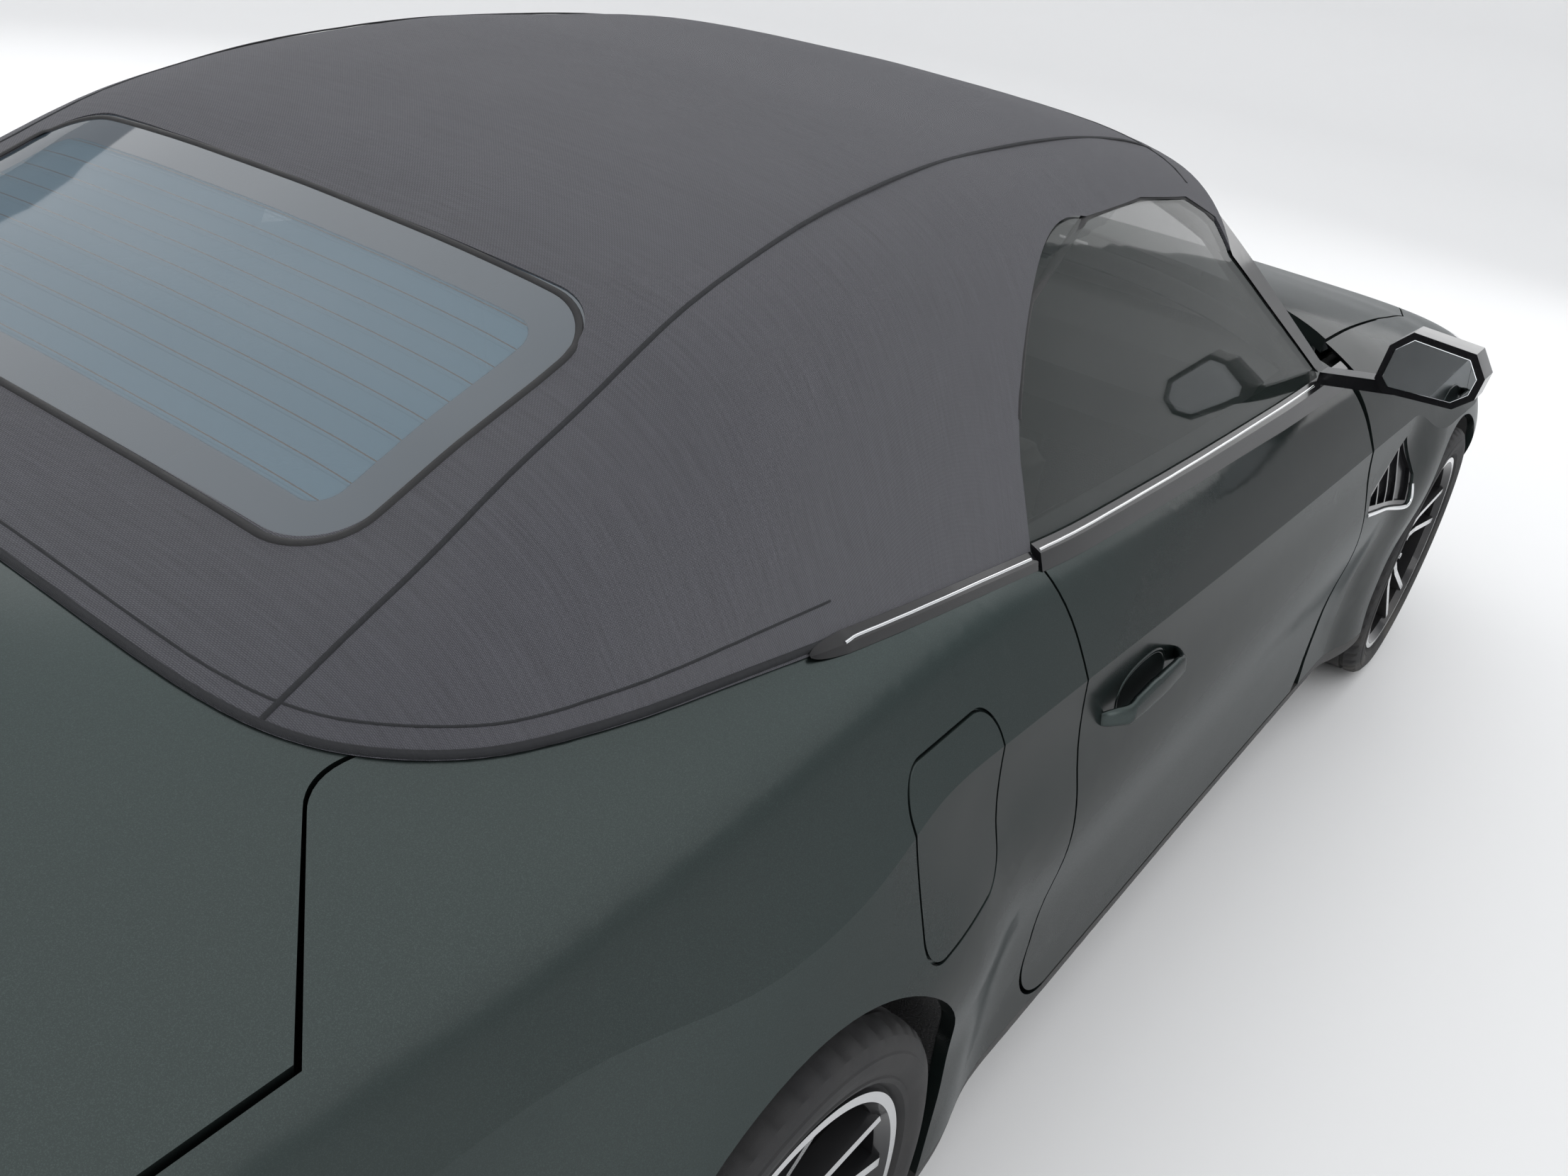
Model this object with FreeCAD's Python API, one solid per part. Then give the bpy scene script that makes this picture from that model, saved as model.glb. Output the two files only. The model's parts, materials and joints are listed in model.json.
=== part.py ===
"""Two-door, four-seat convertible car with its fabric top up, built as separate panels and units.

Frame: +X to the nose, +Y to the car's left, +Z up, origin on the ground under the middle of the
bounding box. Lengths are millimetres. The car stands on its four tyres.
"""
import FreeCAD, Part
import math
import os
from FreeCAD import Placement, Rotation, Vector

doc = FreeCAD.newDocument("convertible_car")

# Driving dimensions: alias, value, what it measures
SIZES = [
    ("overall_length", 4794.0, "bumper to bumper"),
    ("body_width", 1887.0, "over the wheel flares"),
    ("wheelbase", 2857.0, "between the axles"),
    ("front_overhang", 855.0, "front axle to nose"),
    ("track", 1610.0, "between the wheel centres of one axle"),
    ("tyre_radius", 338.0, "outside radius of each tyre"),
    ("tyre_width", 265.0, "over the sidewalls"),
    ("rim_radius", 254.0, "bead seat radius of each rim"),
    ("disc_radius", 190.0, "brake discs"),
    ("arch_radius", 376.0, "wheel arch opening"),
    ("flare", 31.0, "how far the wheel flares stand out of the sides"),
    ("underside", 135.0, "lowest edge of the body above the ground"),
    ("floor_top", 178.0, "cabin floor"),
    ("belt_height", 945.0, "side window sill"),
    ("crease_height", 805.0, "side crease at the middle of the door"),
    ("roof_height", 1395.0, "top of the fabric roof"),
    ("belt_half_width", 762.0, "side glass at the window sill, from the middle"),
    ("panel", 18.0, "depth of a fixed panel with its inner frame"),
    ("lid_depth", 26.0, "depth of the bonnet and of the rear lids"),
    ("door_inner", 716.0, "inside face of a door, from the middle"),
    ("door_front", 772.0, "front edge of a door, from the middle of the car"),
    ("door_rear", -660.0, "rear edge of a door, from the middle of the car"),
    ("shut_gap", 5.0, "gap around a door, lid or flap"),
    ("seat_gap", 0.4, "clearance where one piece seats on another"),
    ("top_thickness", 16.0, "fabric top with its lining"),
    ("glass", 5.0, "thickness of each pane"),
    ("pillar", 45.0, "depth of the windscreen frame"),
    ("deck_half_width", 600.0, "half width of the rear lids"),
    ("bonnet_half_width", 690.0, "half width of the bonnet"),
    ("hinge_radius", 8.0, "hinge knuckles"),
]

sheet = doc.addObject("Spreadsheet::Sheet", "sizes")
for row, (alias, value, note) in enumerate(SIZES, start=1):
    sheet.set(f"A{row}", alias)
    sheet.set(f"B{row}", str(value))
    sheet.set(f"C{row}", note)
    sheet.setAlias(f"B{row}", alias)
doc.recompute()
VALUES = {alias: float(sheet.get(alias)) for alias, value, note in SIZES}


def size(alias):
    """The value of a driving dimension, as the spreadsheet gives it."""
    return VALUES[alias]


LENGTH = size("overall_length")
NOSE_X = LENGTH / 2
TAIL_X = -LENGTH / 2
FRONT_AXLE = NOSE_X - size("front_overhang")
REAR_AXLE = FRONT_AXLE - size("wheelbase")
WHEEL_Y = size("track") / 2
WHEEL_Z = size("tyre_radius")
GAP = size("shut_gap")
SEAT = size("seat_gap")
PANEL = size("panel")
LID = size("lid_depth")
BELT = size("belt_height")
FLOOR = size("floor_top")
UNDER = size("underside")
UP = Vector(0, 0, 1)


# Curves through short tables

def smooth(table, where, column):
    """Monotone cubic through a table's column, keyed by its first column, at a place."""
    keys = [r[0] for r in table]
    vals = [r[column] for r in table]
    if where <= keys[0]:
        return vals[0]
    if where >= keys[-1]:
        return vals[-1]
    n = len(keys)
    step = [keys[i + 1] - keys[i] for i in range(n - 1)]
    rise = [(vals[i + 1] - vals[i]) / step[i] for i in range(n - 1)]
    slope = [rise[0]] + [0.0] * (n - 2) + [rise[-1]]
    for i in range(1, n - 1):
        if rise[i - 1] * rise[i] > 0:
            w1 = 2 * step[i] + step[i - 1]
            w2 = step[i] + 2 * step[i - 1]
            slope[i] = (w1 + w2) / (w1 / rise[i - 1] + w2 / rise[i])
    i = max(k for k in range(n - 1) if keys[k] <= where)
    t = (where - keys[i]) / step[i]
    return (vals[i] * (1 + 2 * t) * (1 - t) ** 2 + step[i] * slope[i] * t * (1 - t) ** 2
            + vals[i + 1] * t * t * (3 - 2 * t) + step[i] * slope[i + 1] * t * t * (t - 1))


def along(station):
    """X of a station: -1 tail, 0 rear axle, 1 front axle, 2 nose."""
    if station < 0:
        return REAR_AXLE + station * (REAR_AXLE - TAIL_X)
    if station > 1:
        return FRONT_AXLE + (station - 1) * (NOSE_X - FRONT_AXLE)
    return REAR_AXLE + station * (FRONT_AXLE - REAR_AXLE)


def station_of(x):
    """Station of an X, the reverse of along."""
    if x < REAR_AXLE:
        return (x - REAR_AXLE) / (REAR_AXLE - TAIL_X)
    if x > FRONT_AXLE:
        return 1 + (x - FRONT_AXLE) / (NOSE_X - FRONT_AXLE)
    return (x - REAR_AXLE) / (FRONT_AXLE - REAR_AXLE)


# Outer body, from short tables
# Top: station, centre line above the belt height, side crease above the crease height
TOP_LINES = [
    (-1.0, -15, 30), (-0.86, 36, 45), (-0.63, 56, 50), (-0.35, 66, 52), (0.0, 66, 45),
    (0.145, 56, 28), (0.285, 44, 12), (0.46, 40, -5), (0.635, 40, -14), (0.793, 40, -17),
    (0.9, 18, -20), (1.0, -18, -30), (1.36, -70, -58), (1.65, -128, -98), (1.83, -172, -135),
    (2.0, -232, -180),
]
# Across the top: share of the half width, share of the rise from the side crease to the centre line
TOP_ACROSS = [
    (0.0, 1.0), (0.25, 0.99), (0.5, 0.955), (0.7, 0.90), (0.82, 0.80), (0.9, 0.63),
    (0.96, 0.33), (1.0, 0.0), (1.05, -0.38), (1.1, -0.8),
]
TOP_SHARES = [0.0, 0.25, 0.5, 0.7, 0.82, 0.9, 0.96, 1.0, 1.05, 1.1]
# Up the side: height, inset of the side, setback of the nose, setback of the tail
SIDE_LEVELS = [
    (135, 78, 150, 190), (175, 34, 70, 130), (230, 12, 22, 95), (330, 16, 0, 55),
    (450, 15, 0, 20), (545, 2, 6, 6), (610, 0, 14, 2), (680, 11, 26, 0), (740, 26, 44, 0),
    (790, 33, 64, 2), (850, 38, 100, 8), (950, 46, 170, 22), (1060, 58, 260, 50),
]
# Along the side: station, inset of the half width
SIDE_PLAN = [
    (-1.0, 44), (-0.45, 22), (-0.2, 8), (0.0, 2), (0.25, 6), (0.5, 8), (0.75, 6), (1.0, 2), (1.3, 8),
    (1.6, 20), (2.0, 34),
]
NOSE_ROUND = 650.0
NOSE_POWER = 2.5
TAIL_ROUND = 600.0
TAIL_POWER = 3.0
FLARE_FLAT = 18.0
FLARE_FADE = 215.0
TOP_STEPS = 44
SIDE_STEP = 84.0
SIDE_TOP = 1085.0
SIDE_ROWS = 16
END_STEPS = 11
TOLERANCE = 0.001


def plan_half(x):
    """Half width of the body without its flares."""
    return size("body_width") / 2 - size("flare") - smooth(SIDE_PLAN, station_of(x), 1)


def flare_at(x, z):
    """How far the wheel flares push the side out at a point of it."""
    most = 0.0
    for axle in (REAR_AXLE, FRONT_AXLE):
        away = math.hypot(x - axle, z - WHEEL_Z) - size("arch_radius") - FLARE_FLAT
        share = min(1.0, max(0.0, away / FLARE_FADE))
        most = max(most, 0.5 * (1 + math.cos(math.pi * share)))
    return size("flare") * most


def side_half(x, z, inset=0.0):
    """Half width of the side at a point between the rounded ends."""
    return plan_half(x) - smooth(SIDE_LEVELS, z, 1) + flare_at(x, z) - inset


def crease_at(x):
    """Height of the side crease at a place along the car."""
    return size("crease_height") + smooth(TOP_LINES, station_of(x), 2)


def shoulder_half(x):
    """Half width of the body at its side crease."""
    return plan_half(x) - smooth(SIDE_LEVELS, crease_at(x), 1)


def top_height(x, y, drop=0.0):
    """Height of the body's top surface, lowered by a depth that grows a little to the sides."""
    centre = BELT + smooth(TOP_LINES, station_of(x), 1)
    crease = crease_at(x)
    u = abs(y) / shoulder_half(x)
    return crease + (centre - crease) * smooth(TOP_ACROSS, u, 1) - drop * (1 + 0.5 * min(u, 1) ** 4)


def surface(grid):
    """A smooth face through a grid of points."""
    skin = Part.BSplineSurface()
    skin.interpolate(grid)
    return skin.toShape()


def end_point(z, turn, end, inset):
    """A point of the rounded nose (end 1) or tail (end -1): turn 0 at its start, 1 at its tip."""
    if end > 0:
        start, tip, power = NOSE_X - NOSE_ROUND, NOSE_X - smooth(SIDE_LEVELS, z, 2), NOSE_POWER
    else:
        start, tip, power = TAIL_X + TAIL_ROUND, TAIL_X + smooth(SIDE_LEVELS, z, 3), TAIL_POWER
    tip -= end * inset
    if turn > 0.999:
        return Vector(tip, 0, z)
    angle = turn * math.pi / 2
    x = start + (tip - start) * math.sin(angle) ** (2 / power)
    return Vector(x, -side_half(x, z, inset) * math.cos(angle) ** (2 / power), z)


def side_ring(inset=0.0):
    """A solid bounded by the sides, nose and tail, all set in by a depth, from the underside up."""
    levels = [UNDER + (SIDE_TOP - UNDER) * i / SIDE_ROWS for i in range(SIDE_ROWS + 1)]
    front = NOSE_X - NOSE_ROUND
    rear = TAIL_X + TAIL_ROUND
    count = round((front - rear) / SIDE_STEP)
    rows = [[end_point(z, 1 - i / END_STEPS, 1, inset) for z in levels] for i in range(END_STEPS)]
    for i in range(count + 1):
        x = front + (rear - front) * i / count
        rows.append([Vector(x, -side_half(x, z, inset), z) for z in levels])
    rows += [[end_point(z, i / END_STEPS, -1, inset) for z in levels] for i in range(1, END_STEPS + 1)]
    right = surface(rows)
    left = right.mirror(Vector(0, 0, 0), Vector(0, 1, 0))
    faces = [right, left]
    for z in (levels[0], levels[-1]):
        rim = [e for f in (right, left) for e in f.Edges
               if e.BoundBox.ZLength < 1 and abs(e.BoundBox.ZMin - z) < 0.1]
        faces.append(Part.Face(Part.Plane(Vector(0, 0, z), UP), Part.Wire(Part.__sortEdges__(rim))))
    shell = Part.Compound(faces)
    shell.fixTolerance(TOLERANCE)
    shell.sewShape(TOLERANCE)
    solid = Part.Solid(shell.Shells[0])
    if solid.Volume < 0:
        solid.reverse()
    return solid


def below_top(drop=0.0):
    """Everything below the body's top surface, lowered by a depth."""
    shares = [-u for u in reversed(TOP_SHARES[1:])] + TOP_SHARES
    rows = []
    for i in range(TOP_STEPS + 1):
        x = TAIL_X - 60 + (LENGTH + 120) * i / TOP_STEPS
        half = shoulder_half(x)
        rows.append([Vector(x, u * half, top_height(x, u * half, drop)) for u in shares])
    return surface(rows).extrude(Vector(0, 0, -1200))


# Greenhouse: station, height of the roof's centre line below the roof height, inset of its half width
ROOF_LINES = [
    (-0.5, -525, 200), (-0.3, -395, 90), (-0.16, -309, 42), (0.0, -218, 26), (0.09, -104, 14),
    (0.18, -40, 6), (0.285, -8, 0), (0.39, 0, 0), (0.46, -9, 0), (0.562, -57, 0),
    (0.67, -105, 2), (0.775, -165, 6), (0.85, -215, 12),
]
# Across the roof: share of the half width, share of the height above the belt
ROOF_ACROSS = [
    (0.0, 1.0), (0.28, 0.99), (0.53, 0.955), (0.69, 0.88), (0.785, 0.76), (0.85, 0.60),
    (0.905, 0.40), (0.955, 0.20), (1.0, 0.0), (1.045, -0.2), (1.09, -0.4),
]
ROOF_SHARES = [0.0, 0.14, 0.28, 0.41, 0.53, 0.62, 0.69, 0.74, 0.785, 0.82, 0.85, 0.88, 0.905, 0.93, 0.955,
               0.98, 1.0, 1.045, 1.09]
ROOF_STEPS = 34


def roof_height(x, y, inset=0.0):
    """Height of the greenhouse at a place in plan, its surface set in by a depth."""
    s = station_of(x)
    centre = size("roof_height") + smooth(ROOF_LINES, s, 1) - inset
    half = size("belt_half_width") - smooth(ROOF_LINES, s, 2) - inset
    return BELT + (centre - BELT) * smooth(ROOF_ACROSS, abs(y) / half, 1)


def below_roof(inset=0.0):
    """Everything below the greenhouse's surface, set in by a depth."""
    shares = [-u for u in reversed(ROOF_SHARES[1:])] + ROOF_SHARES
    low, high = along(ROOF_LINES[0][0]), along(ROOF_LINES[-1][0])
    rows = []
    for i in range(ROOF_STEPS + 1):
        x = low + (high - low) * i / ROOF_STEPS
        half = size("belt_half_width") - smooth(ROOF_LINES, station_of(x), 2) - inset
        rows.append([Vector(x, u * half, roof_height(x, u * half, inset)) for u in shares])
    return surface(rows).extrude(Vector(0, 0, -700))


# Windscreen: a curved sheet swept between its foot and its head
SCREEN_NORMAL = Vector(0.488, 0, 0.873)
SCREEN_FOOT = Vector(1000, 720, 985)
SCREEN_HEAD = Vector(300, 600, 1338)
FOOT_SWEEP = (265.0, 58.0)
HEAD_SWEEP = (85.0, 93.0)
SCREEN_CURVE = 2.2
SCREEN_EDGE = 0.95
SCREEN_LOW = -0.08
SCREEN_HIGH = 0.955
FRAME_LOW = -0.11


def screen_point(u, t):
    """A point of the windscreen's outside: u from side to side, t from foot to head."""
    bend = abs(u) ** SCREEN_CURVE
    foot = Vector(SCREEN_FOOT.x - FOOT_SWEEP[0] * bend, SCREEN_FOOT.y * u, SCREEN_FOOT.z - FOOT_SWEEP[1] * bend)
    head = Vector(SCREEN_HEAD.x - HEAD_SWEEP[0] * bend, SCREEN_HEAD.y * u, SCREEN_HEAD.z - HEAD_SWEEP[1] * bend)
    return foot + (head - foot) * t


def screen_slab(outer, inner):
    """The windscreen's sheet between two depths under its outside."""
    rows = [[screen_point(-1.3 + 2.6 * i / 16, -0.35 + 1.65 * j / 6) for j in range(7)] for i in range(17)]
    sheet_face = surface(rows).translated(SCREEN_NORMAL * -outer)
    return sheet_face.extrude(SCREEN_NORMAL * (outer - inner))


def screen_prism(edge, low, high, grow=0.0, reach=0.0):
    """A prism square to the windscreen through an outline of it, grown by a margin, its sides moved out."""
    origin = Vector(650, 0, 1160)
    normal = Vector(SCREEN_NORMAL)
    normal.normalize()
    uphill = Vector(-normal.z, 0, normal.x)
    side = Vector(0, 1, 0)

    def flat(u, t, rise, out):
        p = screen_point(u, t) - origin
        return origin + uphill * (p.dot(uphill) + rise) + side * (p.y + out)

    corners = [flat(-edge, low, -grow, -grow), flat(0, low, -grow, 0), flat(edge, low, -grow, grow),
               flat(edge, high, grow, grow), flat(0, high, grow, 0), flat(-edge, high, grow, -grow)]
    out = side * reach
    sides = [[corners[2], corners[2] + out, corners[3] + out, corners[3]],
             [corners[5], corners[5] - out, corners[0] - out, corners[0]]]
    right, left = [Part.makePolygon(c if reach else [c[0], c[3]]).Edges for c in sides]
    wire = Part.Wire([Part.Arc(*corners[:3]).toShape()] + right + [Part.Arc(*corners[3:]).toShape()] + left)
    return Part.Face(wire).translated(normal * -250).extrude(normal * 500)


# Plain solids

def box(x0, x1, y0, y1, z0, z1):
    """A box between two corners."""
    return Part.makeBox(x1 - x0, y1 - y0, z1 - z0, Vector(x0, y0, z0))


def mirrored(shape):
    """The same shape on the other side of the car."""
    return shape.mirror(Vector(0, 0, 0), Vector(0, 1, 0))


def pair(shape):
    """A shape and its mirror image."""
    return Part.makeCompound([shape, mirrored(shape)])


def outline(points):
    """A closed wire through points; a point given with a third value True is the middle of an arc."""
    edges = []
    i = 0
    n = len(points)
    while i < n:
        a = points[i]
        b = points[(i + 1) % n]
        if b[-1] is True:
            c = points[(i + 2) % n]
            edges.append(Part.Arc(Vector(*a[0]), Vector(*b[0]), Vector(*c[0])).toShape())
            i += 2
        else:
            edges.append(Part.makeLine(Vector(*a[0]), Vector(*b[0])))
            i += 1
    return Part.Wire(edges)


def prism_y(points, y0, y1):
    """A prism across the car from an outline in side view: (x, z) or (x, z, True) for an arc's middle."""
    wire = outline([((p[0], y0, p[1]),) + tuple(p[2:]) for p in points])
    return Part.Face(wire).extrude(Vector(0, y1 - y0, 0))


def prism_z(points, z0, z1):
    """An upright prism from an outline in plan: (x, y) or (x, y, True) for an arc's middle."""
    wire = outline([((p[0], p[1], z0),) + tuple(p[2:]) for p in points])
    return Part.Face(wire).extrude(Vector(0, 0, z1 - z0))


def prism_x(points, x0, x1):
    """A prism along the car from an outline in end view: (y, z) or (y, z, True) for an arc's middle."""
    wire = outline([((x0, p[0], p[1]),) + tuple(p[2:]) for p in points])
    return Part.Face(wire).extrude(Vector(x1 - x0, 0, 0))


def cylinder(radius, start, end):
    """A round bar between two points."""
    a, b = Vector(*start), Vector(*end)
    return Part.makeCylinder(radius, (b - a).Length, a, b - a)


def across(radius, x, z, y0, y1):
    """A round bar across the car."""
    return cylinder(radius, (x, y0, z), (x, y1, z))


def fused(shapes):
    """Several shapes as one solid."""
    shapes = list(shapes)
    whole = shapes[0].fuse(shapes[1:]).removeSplitter()
    return whole.Solids[0] if len(whole.Solids) == 1 else whole


def largest(shape):
    """A shape's largest solid."""
    return max(shape.Solids, key=lambda s: s.Volume)


# Shared hulls of the body

def set_in(depth):
    """The body's outer shape, set in by a depth."""
    return side_ring(depth).common(below_top(depth))


OUTER = set_in(0.0)
INNER = set_in(PANEL)
LID_INNER = set_in(LID)
FRAME_HULL = side_ring(PANEL + SEAT).common(below_top(LID + 8))
SKIN = OUTER.cut(INNER)
ROOF = below_roof()

# Side outlines of the doors: (x, z), with arcs through a middle point
DOOR_BOTTOM = 246.0
DOOR_LEAN_REAR = 14.0
DOOR_LEAN_FRONT = 50.0


def door_outline(grow, rear_shift, front_shift):
    """Corners of a door in side view, grown by a margin, its edges moved inwards by their shifts."""
    rear = size("door_rear") - grow + rear_shift
    front = size("door_front") + grow - front_shift
    low = DOOR_BOTTOM - grow
    return [(front, 1100), (front, 620), (front - 22, low + 40), (front - 50, low), (rear + 165, low),
            (rear + 62, low + 38, True), (rear + 24, low + 150), (rear, 700), (rear, 1100)]


def door_zone(grow=0.0):
    """The space a left door takes out of the body, its end faces leaning so that it swings clear."""
    leaning = door_outline(grow, DOOR_LEAN_REAR, DOOR_LEAN_FRONT)
    inner = [((x[0], size("door_inner") - grow, x[1]),) + tuple(x[2:]) for x in leaning]
    outer = [((x[0], size("door_inner") + 200, x[1]),) + tuple(x[2:]) for x in door_outline(grow, 0.0, 0.0)]
    return Part.makeLoft([outline(inner), outline(outer)], True, True)


BONNET_REAR = 1110.0
BONNET_CORNER = 870.0
BONNET_FRONT = 2246.0
BONNET_SWEEP = 62.0
LID_REAR_Z = 640.0
TONNEAU_FRONT = -1128.0
BOOT_FRONT = -1985.0
BOOT_GAP = 7.0
DECK_WIDE = 782.0
DECK_STEP = (-1625.0, -1768.0)
WING_FRONT = 1968.0
LAMP_LOW = 588.0
BUMPER_TOP_REAR = 606.0
LAMP_Z = (704.0, 796.0)


def bonnet_plan(grow=0.0):
    """The bonnet in plan, grown by a margin."""
    half = size("bonnet_half_width") + grow
    return [(BONNET_CORNER - grow, -half), (BONNET_REAR - grow, 0, True), (BONNET_CORNER - grow, half),
            (1640, half), (2120, 575 + grow), (BONNET_FRONT + grow, 0, True), (2120, -575 - grow),
            (1640, -half)]


def both(shape):
    """A left-hand shape together with its mirror image, for cutting."""
    return shape.fuse(mirrored(shape))


DOORS = door_zone(GAP)
BONNET_ZONE = prism_z(bonnet_plan(GAP), 500, 1200)
LID_HALF = size("deck_half_width")
ARCH_HOLES = fused(across(size("arch_radius"), x, WHEEL_Z, s * 300, s * 1100)
                   for x in (FRONT_AXLE, REAR_AXLE) for s in (-1, 1))
BONNET = prism_z(bonnet_plan(), 500, 1200)


def bonnet():
    """The bonnet: a pressed lid with its inner frame, and two knuckles of its hinges."""
    lid = largest(OUTER.common(BONNET).cut(below_top(LID)).common(box(800, BONNET_FRONT + 1, -900, 900, 600, 1100)))
    parts = [lid]
    for s in (-1, 1):
        y = s * BONNET_HINGE_Y
        top = top_height(BONNET_HINGE_X, y, LID)
        parts.append(across(size("hinge_radius"), BONNET_HINGE_X, BONNET_HINGE_Z, y - 10, y + 10))
        parts.append(box(BONNET_HINGE_X, BONNET_HINGE_X + 40, y - 10, y + 10, BONNET_HINGE_Z - 4, top + 3))
    return fused(parts)


BONNET_HINGE_X = 890.0
BONNET_HINGE_Z = 902.0
BONNET_HINGE_Y = 655.0


def front_wings():
    """Both front wings, from the doors to the headlamps, around the wheel arches."""
    side = SKIN.common(box(size("door_front") + GAP, WING_FRONT, 300, 1000, DOOR_BOTTOM - GAP, 1100))
    side = side.cut(BONNET_ZONE).cut(ARCH_HOLES)
    side = side.cut(box(FRONT_AXLE + 200, NOSE_X, 300, 1000, 0, 556))
    side = side.cut(VENT_ZONE)
    inner = size("bonnet_half_width") + 7
    side = side.cut(prism_z([(BONNET_CORNER - BONNET_SWEEP, -inner), (BONNET_REAR - BONNET_SWEEP, 0, True),
                             (BONNET_CORNER - BONNET_SWEEP, inner), (1300, inner), (1300, -inner)], 500, 1200))
    side = side.cut(screen_slab(-60, size("pillar") + GAP).common(below_roof(-GAP)))
    return pair(largest(side))


VENT = [(800, 650), (1128, 592), (1140, 660), (1085, 752), (812, 690)]


def grown(points, margin):
    """An outline moved out from its middle by about a margin."""
    cx = sum(p[0] for p in points) / len(points)
    cz = sum(p[1] for p in points) / len(points)
    return [(p[0] + margin * (1 if p[0] > cx else -1), p[1] + margin * (1 if p[1] > cz else -1)) + tuple(p[2:])
            for p in points]


VENT_ZONE = prism_y(grown(VENT, 0.5), 500, 1100)


def side_vents():
    """The dark vents behind both front wheels: a frame with slanted blades."""
    body = side_ring(4).common(prism_y(VENT, 500, 1100)).cut(side_ring(PANEL))
    hollow = prism_y(grown(VENT, -12), 500, 1100).cut(side_ring(PANEL - 5))
    blades = [box(x, x + 10, 700, 1000, 560, 780) for x in (880, 960, 1040)]
    hollow = hollow.cut(Part.makeCompound(blades))
    return pair(largest(body.cut(hollow)))


def quarter_panels():
    """Both rear quarters: shoulder, flare and the deck beside the rear lids."""
    side = SKIN.common(box(TAIL_X, size("door_rear") + 200, 300, 1000, DOOR_BOTTOM - GAP, 1100))
    side = side.cut(DOORS).cut(ARCH_HOLES)
    side = side.cut(box(TAIL_X - 10, REAR_AXLE - 200, 300, 1000, 0, BUMPER_TOP_REAR + SEAT))
    side = side.cut(deck_zone(GAP))
    side = side.cut(tail_lamp_zone(SEAT))
    side = side.cut(prism_z([(-1160, 0), (-1160, LID_HALF + 60), (-1080, size("door_inner") - 6),
                             (size("door_rear") + 200, size("door_inner") - 6), (size("door_rear") + 200, 0)],
                            600, 1100))
    return largest(side)


def lid_corner(grow):
    """The left half of the tonneau lid in plan, widening to the side crease, grown by a margin."""
    half = LID_HALF + grow
    wide = DECK_WIDE + grow
    rear = BOOT_FRONT + BOOT_GAP - grow
    return prism_z([(TONNEAU_FRONT + grow, 0), (TONNEAU_FRONT + grow, half), (DECK_STEP[0] + 40, half),
                    (DECK_STEP[0] + 8, half + 8, True), (DECK_STEP[0] - 16, half + 28),
                    (DECK_STEP[1] + grow * 0.5, wide), (rear, wide), (rear, 0)], LID_REAR_Z - grow, 1200)


def deck_zone(grow):
    """The space of the tonneau and boot lids, grown by a margin."""
    boot = box(TAIL_X - 10, BOOT_FRONT + 50, -LID_HALF - grow, LID_HALF + grow, LID_REAR_Z - grow, 1200)
    return boot.fuse([lid_corner(grow), mirrored(lid_corner(grow))])


def tail_lamp_zone(grow):
    """The space of a left tail lamp."""
    return box(TAIL_X - 10, -2150 + grow, LID_HALF - grow, 1000, LAMP_Z[0] - grow, LAMP_Z[1] + grow)


# The fuel flap on the right rear quarter: a rounded square in side view
FLAP_CENTRE = (-1000.0, 776.0)
FLAP_HALF = 104.0
FLAP_ROUND = 42.0
FLAP_DEPTH = 5.0


def flap_outline(grow):
    """The rounded square of the fuel flap, grown by a margin."""
    cx, cz = FLAP_CENTRE
    a = FLAP_HALF + grow
    r = FLAP_ROUND + grow
    k = r * (1 - math.sqrt(0.5))
    return [(cx - a + r, cz - a), (cx + a - r, cz - a), (cx + a - k, cz - a + k, True), (cx + a, cz - a + r),
            (cx + a, cz + a - r), (cx + a - k, cz + a - k, True), (cx + a - r, cz + a), (cx - a + r, cz + a),
            (cx - a + k, cz + a - k, True), (cx - a, cz + a - r), (cx - a, cz - a + r),
            (cx - a + k, cz - a + k, True)]


def fuel_flap():
    """The fuel flap on the right side."""
    return largest(OUTER.common(prism_y(flap_outline(0), -1000, -700)).cut(set_in(FLAP_DEPTH)))


def right_quarter(left):
    """The right rear quarter: the left one mirrored, with the opening and ledge of the fuel flap."""
    panel = mirrored(left)
    outer_part = prism_y(flap_outline(GAP - 1), -1000, -700).cut(set_in(FLAP_DEPTH + SEAT))
    return largest(panel.cut(outer_part).cut(prism_y(flap_outline(-12), -1000, -780)))


def front_bumper():
    """The front bumper with the openings of the grille and of the lower intakes."""
    whole = SKIN.cut(box(TAIL_X, FRONT_AXLE + 200, -1100, 1100, 0, 1200))
    whole = whole.cut(both(box(TAIL_X, WING_FRONT + SEAT, 100, 1100, 556 - SEAT, 1200)))
    whole = whole.cut(BONNET_ZONE).cut(ARCH_HOLES)
    whole = whole.cut(both(box(WING_FRONT, NOSE_X + 10, HEADLAMP_INNER - SEAT, 1000, LAMP_LOW - SEAT, 1200)))
    for opening in (grille_outline(SEAT), intake_outline(SEAT)):
        cut = prism_x(opening, WING_FRONT, NOSE_X + 50)
        whole = whole.cut(cut).cut(mirrored(cut))
    return largest(whole)


HEADLAMP_INNER = 432.0
LAMP_DEPTH = 60.0


def grille_outline(grow):
    """The grille opening in front view."""
    return [(-405 - grow, 600 + grow), (-330 - grow, 300 - grow), (330 + grow, 300 - grow), (405 + grow, 600 + grow)]


def intake_outline(grow):
    """The left lower intake in front view."""
    return [(450 - grow, 225 - grow), (700 + grow, 225 - grow), (735 + grow, 330), (640, 470 + grow),
            (470 - grow, 400)]


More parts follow.
